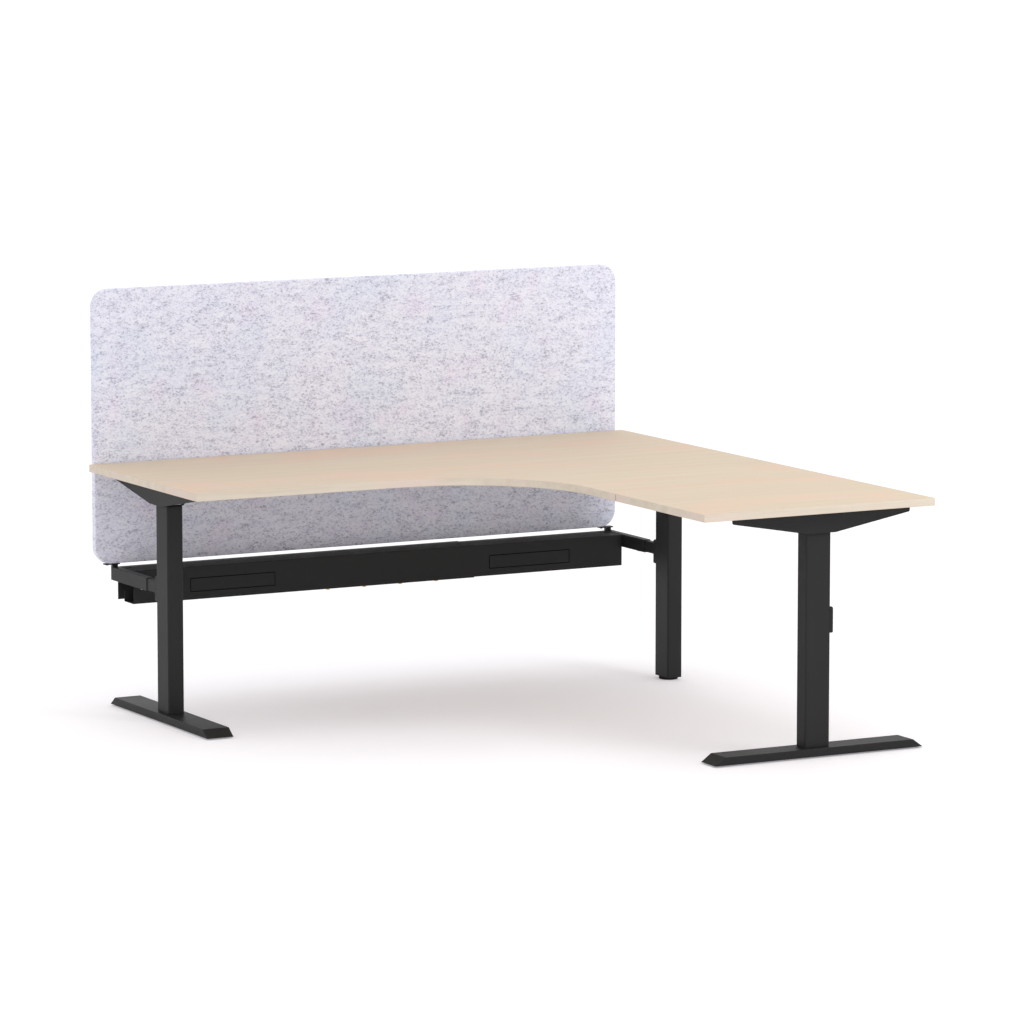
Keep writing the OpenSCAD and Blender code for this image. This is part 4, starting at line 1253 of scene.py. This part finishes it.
@dataclass
class GearMotor:
    """A gearbox over the column with its motor lying in the rocker."""

    leg: Leg
    gear_length: float = 0.072
    corner: float = 0.006
    can: float = 0.020
    cap: float = 0.011
    cap_length: float = 0.008
    shoulder: float = 0.004
    groove_in: float = 0.010
    groove_step: float = 0.001
    edge: float = 0.0012

    def build(self) -> None:
        """Builds the gear motor."""
        node = f"{self.leg.name}_gear_motor"
        low, high = self.leg.box(node)
        half = self.gear_length / 2
        spots = rectangle((low.x, -half), (high.x, half))
        box = Blank().prism(spots, Plane.LEVEL, low.z - Rocker.sag, high.z, all_round(self.corner))
        box.soften(self.edge, 3)
        length = high.y - half - self.cap_length
        end = length + self.cap_length
        groove = length - self.groove_in
        r, e, step = self.can, self.edge, self.groove_step
        profile = [(0.0, 0.0), (r - e, 0.0), (r - e, self.shoulder), (r, self.shoulder + e)]
        profile += [(r, groove - 2 * step), (r - e, groove - step), (r - e, groove + step)]
        profile += [(r, groove + 2 * step), (r, length - e), (r - e, length), (self.cap, length)]
        profile += [(self.cap, end - e), (self.cap - e, end), (0.0, end)]
        middle = Vector(((low.x + high.x) / 2, half, high.z - self.can))
        box.join(Blank().spun(profile, middle, Vector((0, 1, 0)), 40))
        box.finish(node, "lift", CASTING, where=self.leg.place())


@dataclass
class CableTray:
    """The folded tray in two nested halves, with its outlet plates."""

    sheet: float = 0.0015
    trough: float = 0.068
    lip: float = 0.031
    bend: float = 0.0026
    outlet_in: float = 0.184
    outlet_width: float = 0.280
    outlet_up: float = 0.023
    outlet_height: float = 0.042
    tab: float = 0.003
    tab_height: float = 0.039
    slot_in: float = 0.014
    slot_back: float = 0.047
    slot_length: float = 0.022
    slot_width: float = 0.012
    slot_flat: float = 0.0001
    slot_cut: float = 0.010
    plate_gap: float = 0.0024
    plate_edge: float = 0.0003
    plate_rim: float = 0.0012

    def build(self) -> None:
        """Builds both halves and the plates."""
        self._half("left", 1.0)
        self._half("right", -1.0)
        plates = Blank()
        starts = (
            ("left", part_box("tray_left_half")[0].x + self.outlet_in),
            ("right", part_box("tray_right_half")[1].x - self.outlet_in - self.outlet_width),
        )
        for side, start in starts:
            plates.join(self._plate(side, start))
        plates.finish("outlet_plates", "base", TRAY_COAT, GAP_SHADE)

    def _plate(self, side: str, start: float) -> Blank:
        """One outlet plate, level with its half's front, on the wider plate behind the sheet, its sides
        and rim in painted gap shade.

        Args:
            side: left or right.
            start: where its opening starts along X.

        Returns:
            The plate on the bench.
        """
        low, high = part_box("outlet_plates")
        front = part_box(f"tray_{side}_half")[0].y
        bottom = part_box("tray_left_half")[0].z + self.outlet_up
        rim = bottom - low.z
        gap = self.plate_gap
        back = front + self.sheet
        spots = rectangle(
            (start + gap, bottom + gap),
            (start + self.outlet_width - gap, bottom + self.outlet_height - gap),
        )
        plate = Blank().prism(spots, Plane.FRONT, front, back)
        reach = back - self.plate_edge
        plate.soften(self.plate_edge, 2, only=lambda edge: all(v.co.y < reach for v in edge.verts))
        spots = rectangle((start - rim, low.z), (start + self.outlet_width + rim, high.z))
        plate.join(Blank().prism(spots, Plane.FRONT, back, back + self.plate_rim))
        # The plate's sides and the rim behind it take the near-black second finish: painted shade in the
        # gap round the plate.
        return plate.paint(1, lambda face: face.calc_center_median().y > front + self.plate_edge)

    def _half(self, side: str, inwards: float) -> None:
        """One half of the tray.

        Args:
            side: left or right.
            inwards: 1 where the tray runs towards +X from its end, otherwise -1.
        """
        node = f"tray_{side}_half"
        low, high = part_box(node)
        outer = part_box("tray_left_half")[0]
        drawn = low.z - outer.z
        lip_y = outer.y + self.trough - drawn
        path = [
            (lip_y, low.z + self.lip - drawn),
            (lip_y, low.z),
            (low.y, low.z),
            (low.y, high.z),
            (high.y, high.z),
            (high.y, low.z),
        ]
        half = Blank()
        verts = [half.mesh.verts.new(Plane.SIDE.point(y, z, low.x)) for y, z in path]
        edges = [half.mesh.edges.new(pair) for pair in zip(verts, verts[1:])]
        half.draw_out(edges, ALONG * (high.x - low.x))
        half.turn_out().soften(self.bend, 4)
        end = low.x if inwards > 0 else high.x
        window = sorted(end + inwards * x for x in (self.outlet_in, self.outlet_in + self.outlet_width))
        heights = (outer.z + self.outlet_up, outer.z + self.outlet_up + self.outlet_height)
        for x in window:
            half.split(ALONG * x, ALONG)
        for z in heights:
            half.split(UP * z, UP)

        def in_window(face: Face) -> bool:
            """True for the front face in the outlet's place."""
            x, y, z = face.calc_center_median()
            return window[0] < x < window[1] and heights[0] < z < heights[1] and y < low.y + self.sheet

        half.open(in_window)
        front = min(half.mesh.faces, key=lambda face: face.calc_center_median().y)
        if front.normal.y > 0:
            bmesh.ops.reverse_faces(half.mesh, faces=half.mesh.faces)
        half.shell(self.sheet)
        slot_x = end + inwards * self.slot_in
        slot_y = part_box("tray_left_half")[1].y - self.slot_back
        x, y = self.slot_length / 2, self.slot_width / 2
        spots = rectangle((slot_x - x, slot_y - y), (slot_x + x, slot_y + y))
        rounds = all_round(y - self.slot_flat, 6)
        half.carve(
            Blank().prism(spots, Plane.LEVEL, high.z - self.slot_cut, high.z + self.slot_cut, rounds)
        )
        inset = self.sheet
        bottom = high.z - self.tab_height + drawn
        spots = rectangle((low.y + inset, bottom), (high.y - inset, high.z - inset))
        half.join(Blank().prism(spots, Plane.SIDE, *sorted((end, end + inwards * self.tab))))
        half.finish(node, "base", TRAY_COAT)


class Drive(Enum):
    """Recess in a screw's head."""

    HEX = "hex"
    CROSS = "cross"

    def spots(self, radius: float) -> list[Spot]:
        """The recess's outline.

        Args:
            radius: how far its points lie from the middle.

        Returns:
            Its corners.
        """
        if self is Drive.HEX:
            turns = [TURN * (k + 0.5) / 6 for k in range(6)]
            return [(radius * math.cos(t), radius * math.sin(t)) for t in turns]
        arm = CROSS_ARM * radius
        quarter = [(radius, -arm), (radius, arm), (arm, arm)]
        spots = []
        for k in range(4):
            c, s = round(math.cos(k * TURN / 4)), round(math.sin(k * TURN / 4))
            spots += [(c * x - s * y, s * x + c * y) for x, y in quarter]
        return spots


@dataclass(frozen=True)
class Screw:
    """A screw as read from the frame: where its head ends, the way it points and its sizes."""

    RIM_SHARE = 0.22
    FLAT_SHARE = 0.72
    TIP_SHARE = 0.5
    RECESS_SHARE = 0.5
    RECESS_DEPTH = 0.6

    head: Vector
    way: Vector
    radius: float
    head_radius: float
    head_height: float
    length: float

    @classmethod
    def read(cls, island: list[Vector]) -> "Screw":
        """Reads one screw from its corners.

        Args:
            island: the corners of one screw's solid.

        Returns:
            The screw.
        """
        low, high = Vector(map(min, *island)), Vector(map(max, *island))
        axis = min(range(3), key=lambda a: len({round(corner[a], 5) for corner in island}))
        middle = (low + high) / 2
        rings: dict[float, float] = {}
        for corner in island:
            away = corner - middle
            away[axis] = 0.0
            height = round(corner[axis], 5)
            rings[height] = max(rings.get(height, 0.0), away.length)
        heights = sorted(rings)
        if rings[heights[0]] < rings[heights[-1]]:
            heights.reverse()
        wide = [h for h in heights if rings[h] > 0.9 * rings[heights[0]]]
        way = Vector((0, 0, 0))
        way[axis] = math.copysign(1.0, heights[-1] - heights[0])
        start = middle.copy()
        start[axis] = heights[0]
        head_height = abs(wide[-1] - wide[0])
        length = abs(heights[-1] - heights[0]) - head_height
        return cls(start, way, rings[heights[-1]], rings[heights[0]], head_height, length)

    def build(self, drive: Drive) -> Blank:
        """The screw with a chamfered head, a recess and a chamfered tip.

        Args:
            drive: the recess in its head.

        Returns:
            The screw on the bench.
        """
        head, h, r = self.head_radius, self.head_height, self.radius
        rim = self.RIM_SHARE * h
        top = self.FLAT_SHARE * head
        end = h + self.length
        tip = self.TIP_SHARE * r
        profile = [(top, 0.0), (head - 1.2 * rim, 0.1 * rim), (head - 0.3 * rim, 0.6 * rim)]
        profile += [(head, 1.6 * rim), (head, h - 0.3 * rim), (head - 0.3 * rim, h), (r, h)]
        profile += [(r, end - tip), (r - 0.6 * tip, end), (0.0, end)]
        blank = Blank()
        verts = [blank.mesh.verts.new((radius, 0, height)) for radius, height in profile]
        edges = [blank.mesh.edges.new(pair) for pair in zip(verts, verts[1:])]
        bmesh.ops.spin(
            blank.mesh, geom=verts + edges, axis=UP, angle=TURN, steps=24, use_merge=True
        )
        bmesh.ops.remove_doubles(blank.mesh, verts=blank.mesh.verts, dist=Blank.MERGE)
        ring = [edge for edge in blank.mesh.edges if len(edge.link_faces) == 1]
        recess = [blank.mesh.verts.new((x, y, 0)) for x, y in drive.spots(self.RECESS_SHARE * head)]
        mouth = [blank.mesh.edges.new(pair) for pair in zip(recess, recess[1:] + recess[:1])]
        bmesh.ops.bridge_loops(blank.mesh, edges=ring + mouth)
        floor = blank.draw_out(mouth, UP * (self.RECESS_DEPTH * h))
        bmesh.ops.contextual_create(blank.mesh, geom=floor)
        turn = UP.rotation_difference(self.way).to_matrix().to_4x4()
        blank.turn_out().mesh.transform(Matrix.Translation(self.head) @ turn)
        return blank


@dataclass
class Fasteners:
    """Every group of screws and bolts, each screw read from the frame."""

    def build(self) -> None:
        """Builds all the groups."""
        for node, body, drive in (
            ("foot_bolts", "base", Drive.HEX),
            ("arm_screws", "base", Drive.HEX),
            ("block_bolts", "base", Drive.HEX),
            ("screen_screws", "base", Drive.CROSS),
            ("gearbox_bolts", "lift", Drive.HEX),
            ("rail_screws", "lift", Drive.HEX),
            ("top_screws", "lift", Drive.CROSS),
        ):
            self._group(node, body, drive, ZINC)
        self._group("splice_screws", "base", Drive.HEX, YELLOW_ZINC)

    def _group(self, node: str, body: str, drive: Drive, finish: Finish) -> None:
        """One group of screws, on one node.

        Args:
            node: the node.
            body: the body it rides on.
            drive: the recess in each head.
            finish: the screws' finish.
        """
        group = Blank()
        for island in self._islands(node):
            group.join(Screw.read(island).build(drive))
        group.finish(node, body, finish)

    @staticmethod
    def _islands(node: str) -> list[list[Vector]]:
        """The separate solids of a node.

        Args:
            node: the node.

        Returns:
            The corners of each.
        """
        bench = Blank.copy_of(node).mesh
        left = set(bench.verts)
        islands = []
        while left:
            waiting = [left.pop()]
            island = []
            while waiting:
                vert = waiting.pop()
                island.append(vert.co.copy())
                near = {e.other_vert(vert) for e in vert.link_edges} & left
                left -= near
                waiting += near
            islands.append(island)
        bench.free()
        return sorted(islands, key=lambda island: tuple(island[0]))


@dataclass
class UnderFrame:
    """The rails, sleeves, joining plates and arms: folded and drawn steel with soft edges."""

    edge: float = 0.0006
    plate_edge: float = 0.0004
    arm_edge: float = 0.0008

    def build(self) -> None:
        """Builds them all."""
        for node in ("main_rails_left", "main_rails_right", "wing_rails_front", "wing_rails_back"):
            soften_node(node, "lift", FRAME_COAT, self.edge)
        for node in ("rail_sleeves", "joining_plates"):
            soften_node(node, "lift", ZINC, self.plate_edge)
        for side in ("left", "corner"):
            for piece in ("sleeve", "slide"):
                soften_node(f"{side}_arm_{piece}", "base", FRAME_COAT, self.arm_edge)


@dataclass
class Controls:
    """The control box and the handset with its rocking paddle."""

    edge: float = 0.0008
    handset_edge: float = 0.0006
    paddle_edge: float = 0.0012

    def build(self) -> None:
        """Builds the three pieces."""
        soften_node("control_box", "lift", PLASTIC, self.edge)
        soften_node("handset_body", "lift", PLASTIC, self.handset_edge)
        soften_node("handset_paddle", "paddle", PLASTIC, self.paddle_edge)


@dataclass
class Studio:
    """Camera, floor and light. The light is level: a colour renders about as it is written."""

    camera_spot: Colour = (-7.3992, -13.8875, 2.7865)
    yaw: float = 28.164
    pitch: float = 7.796
    lens: float = 193.52
    sensor: float = 36.0
    sight: float = 400.0
    floor_radius: float = 90.0
    floor_share: float = 0.18
    floor_glow: float = 1.64
    floor_tone: Colour = (0.955, 0.945, 0.960)
    glow_tone: Colour = (1.0, 0.955, 1.0)
    sky: float = 0.75
    overhead: float = 0.39
    overhead_spread: float = 34.0
    back: float = 0.56
    back_spread: float = 60.0
    front: float = 0.17
    front_spread: float = 50.0
    lamp: float = 24.5
    lamp_size: float = 1.6
    lamp_spot: Colour = (1.9, -2.6, 2.4)
    lamp_aim: Colour = (0.7, 0.9, 1.0)

    def build(self) -> None:
        """Builds the studio."""
        bpy.context.scene.view_settings.view_transform = "Standard"
        self._camera()
        self._floor()
        self._sky()
        self._sun("overhead", Vector((0.0, 0.08, -1.0)), self.overhead, self.overhead_spread)
        self._sun("back_light", Vector((0.0, -1.0, -1.0)), self.back, self.back_spread)
        self._sun("front_light", Vector((0.55, 1.0, -0.2)), self.front, self.front_spread)
        self._lamp()

    def _camera(self) -> None:
        """The camera at the photograph's place."""
        yaw, pitch = math.radians(self.yaw), math.radians(self.pitch)
        level = math.cos(pitch)
        ahead = Vector((math.sin(yaw) * level, math.cos(yaw) * level, -math.sin(pitch)))
        data = bpy.data.cameras.new("camera")
        data.lens = self.lens
        data.sensor_width = self.sensor
        data.clip_end = self.sight
        camera = put("camera", data)
        camera.location = self.camera_spot
        camera.rotation_euler = ahead.to_track_quat("-Z", "Y").to_euler()
        bpy.context.scene.camera = camera

    @staticmethod
    def _seen(recipe: Recipe) -> Signal:
        """What the camera sees.

        Args:
            recipe: the tree to add it to.

        Returns:
            1 where a ray comes from the camera or through a glass, and otherwise 0.
        """
        rays = recipe.node("ShaderNodeLightPath").outputs
        camera, through = (Signal(rays[name]) for name in ("Is Camera Ray", "Is Transmission Ray"))
        return (camera + through).at_most(1.0)

    def _floor(self) -> None:
        """A pale floor that keeps the shadow and is nearly white to the camera."""
        bench = Blank()
        bmesh.ops.create_circle(bench.mesh, cap_ends=True, radius=self.floor_radius, segments=128)
        data = bpy.data.meshes.new("floor")
        bench.mesh.to_mesh(data)
        bench.mesh.free()
        made = bpy.data.materials.new("floor")
        made.use_nodes = True
        recipe = Recipe(made.node_tree)
        matt = recipe.node("ShaderNodeBsdfDiffuse", values={"Color": (*self.floor_tone, 1.0)})
        values = {"Color": (*self.glow_tone, 1.0), "Strength": self.floor_glow}
        glow = recipe.node("ShaderNodeEmission", values=values)
        share = self.floor_share * self._seen(recipe)
        parts = {0: share, 1: matt.outputs[0], 2: glow.outputs[0]}
        both = recipe.node("ShaderNodeMixShader", values=parts)
        recipe.node("ShaderNodeOutputMaterial", values={"Surface": both.outputs[0]})
        data.materials.append(made)
        floor = put("floor", data)

    def _sky(self) -> None:
        """An even sky, white where it is seen."""
        world = bpy.data.worlds.new("sky")
        world.use_nodes = True
        bpy.context.scene.world = world
        recipe = Recipe(world.node_tree)
        values = {"Strength": self.sky + (1.0 - self.sky) * self._seen(recipe)}
        values["Color"] = (1.0, 1.0, 1.0, 1.0)
        sky = recipe.node("ShaderNodeBackground", values=values)
        recipe.node("ShaderNodeOutputWorld", values={"Surface": sky.outputs[0]})

    def _sun(self, name: str, way: Vector, strength: float, spread: float) -> None:
        """A wide, soft sun.

        Args:
            name: its name.
            way: the way its light goes.
            strength: its strength.
            spread: its width in degrees.
        """
        data = bpy.data.lights.new(name, "SUN")
        data.energy = strength
        data.angle = math.radians(spread)
        put(name, data).rotation_euler = way.to_track_quat("-Z", "Y").to_euler()

    def _lamp(self) -> None:
        """A broad soft lamp near the front right, which the camera does not see."""
        data = bpy.data.lights.new("front_lamp", "AREA")
        data.shape = "DISK"
        data.size = self.lamp_size
        data.energy = self.lamp
        lamp = put("front_lamp", data)
        lamp.location = self.lamp_spot
        way = Vector(self.lamp_aim) - Vector(self.lamp_spot)
        lamp.rotation_euler = way.to_track_quat("-Z", "Y").to_euler()
        lamp.visible_camera = False


def write_sizes() -> None:
    """Updates the view layer."""
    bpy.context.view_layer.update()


def main() -> None:
    """Builds the studio and every sub-assembly in order."""
    logging.basicConfig(level=logging.INFO, format="%(name)s %(message)s")
    Studio().build()
    Worktop().build()
    Screen().build()
    for leg, rocker in zip(LEGS, ROCKERS):
        Column(leg).build()
        rocker.build()
        GearMotor(leg).build()
    for leg in FOOTED_LEGS:
        Foot(leg).build()
    for part in (ColumnFittings(), Glides(), CableTray(), UnderFrame(), Controls(), Fasteners()):
        part.build()
    write_sizes()


if __name__ == "__main__":
    main()
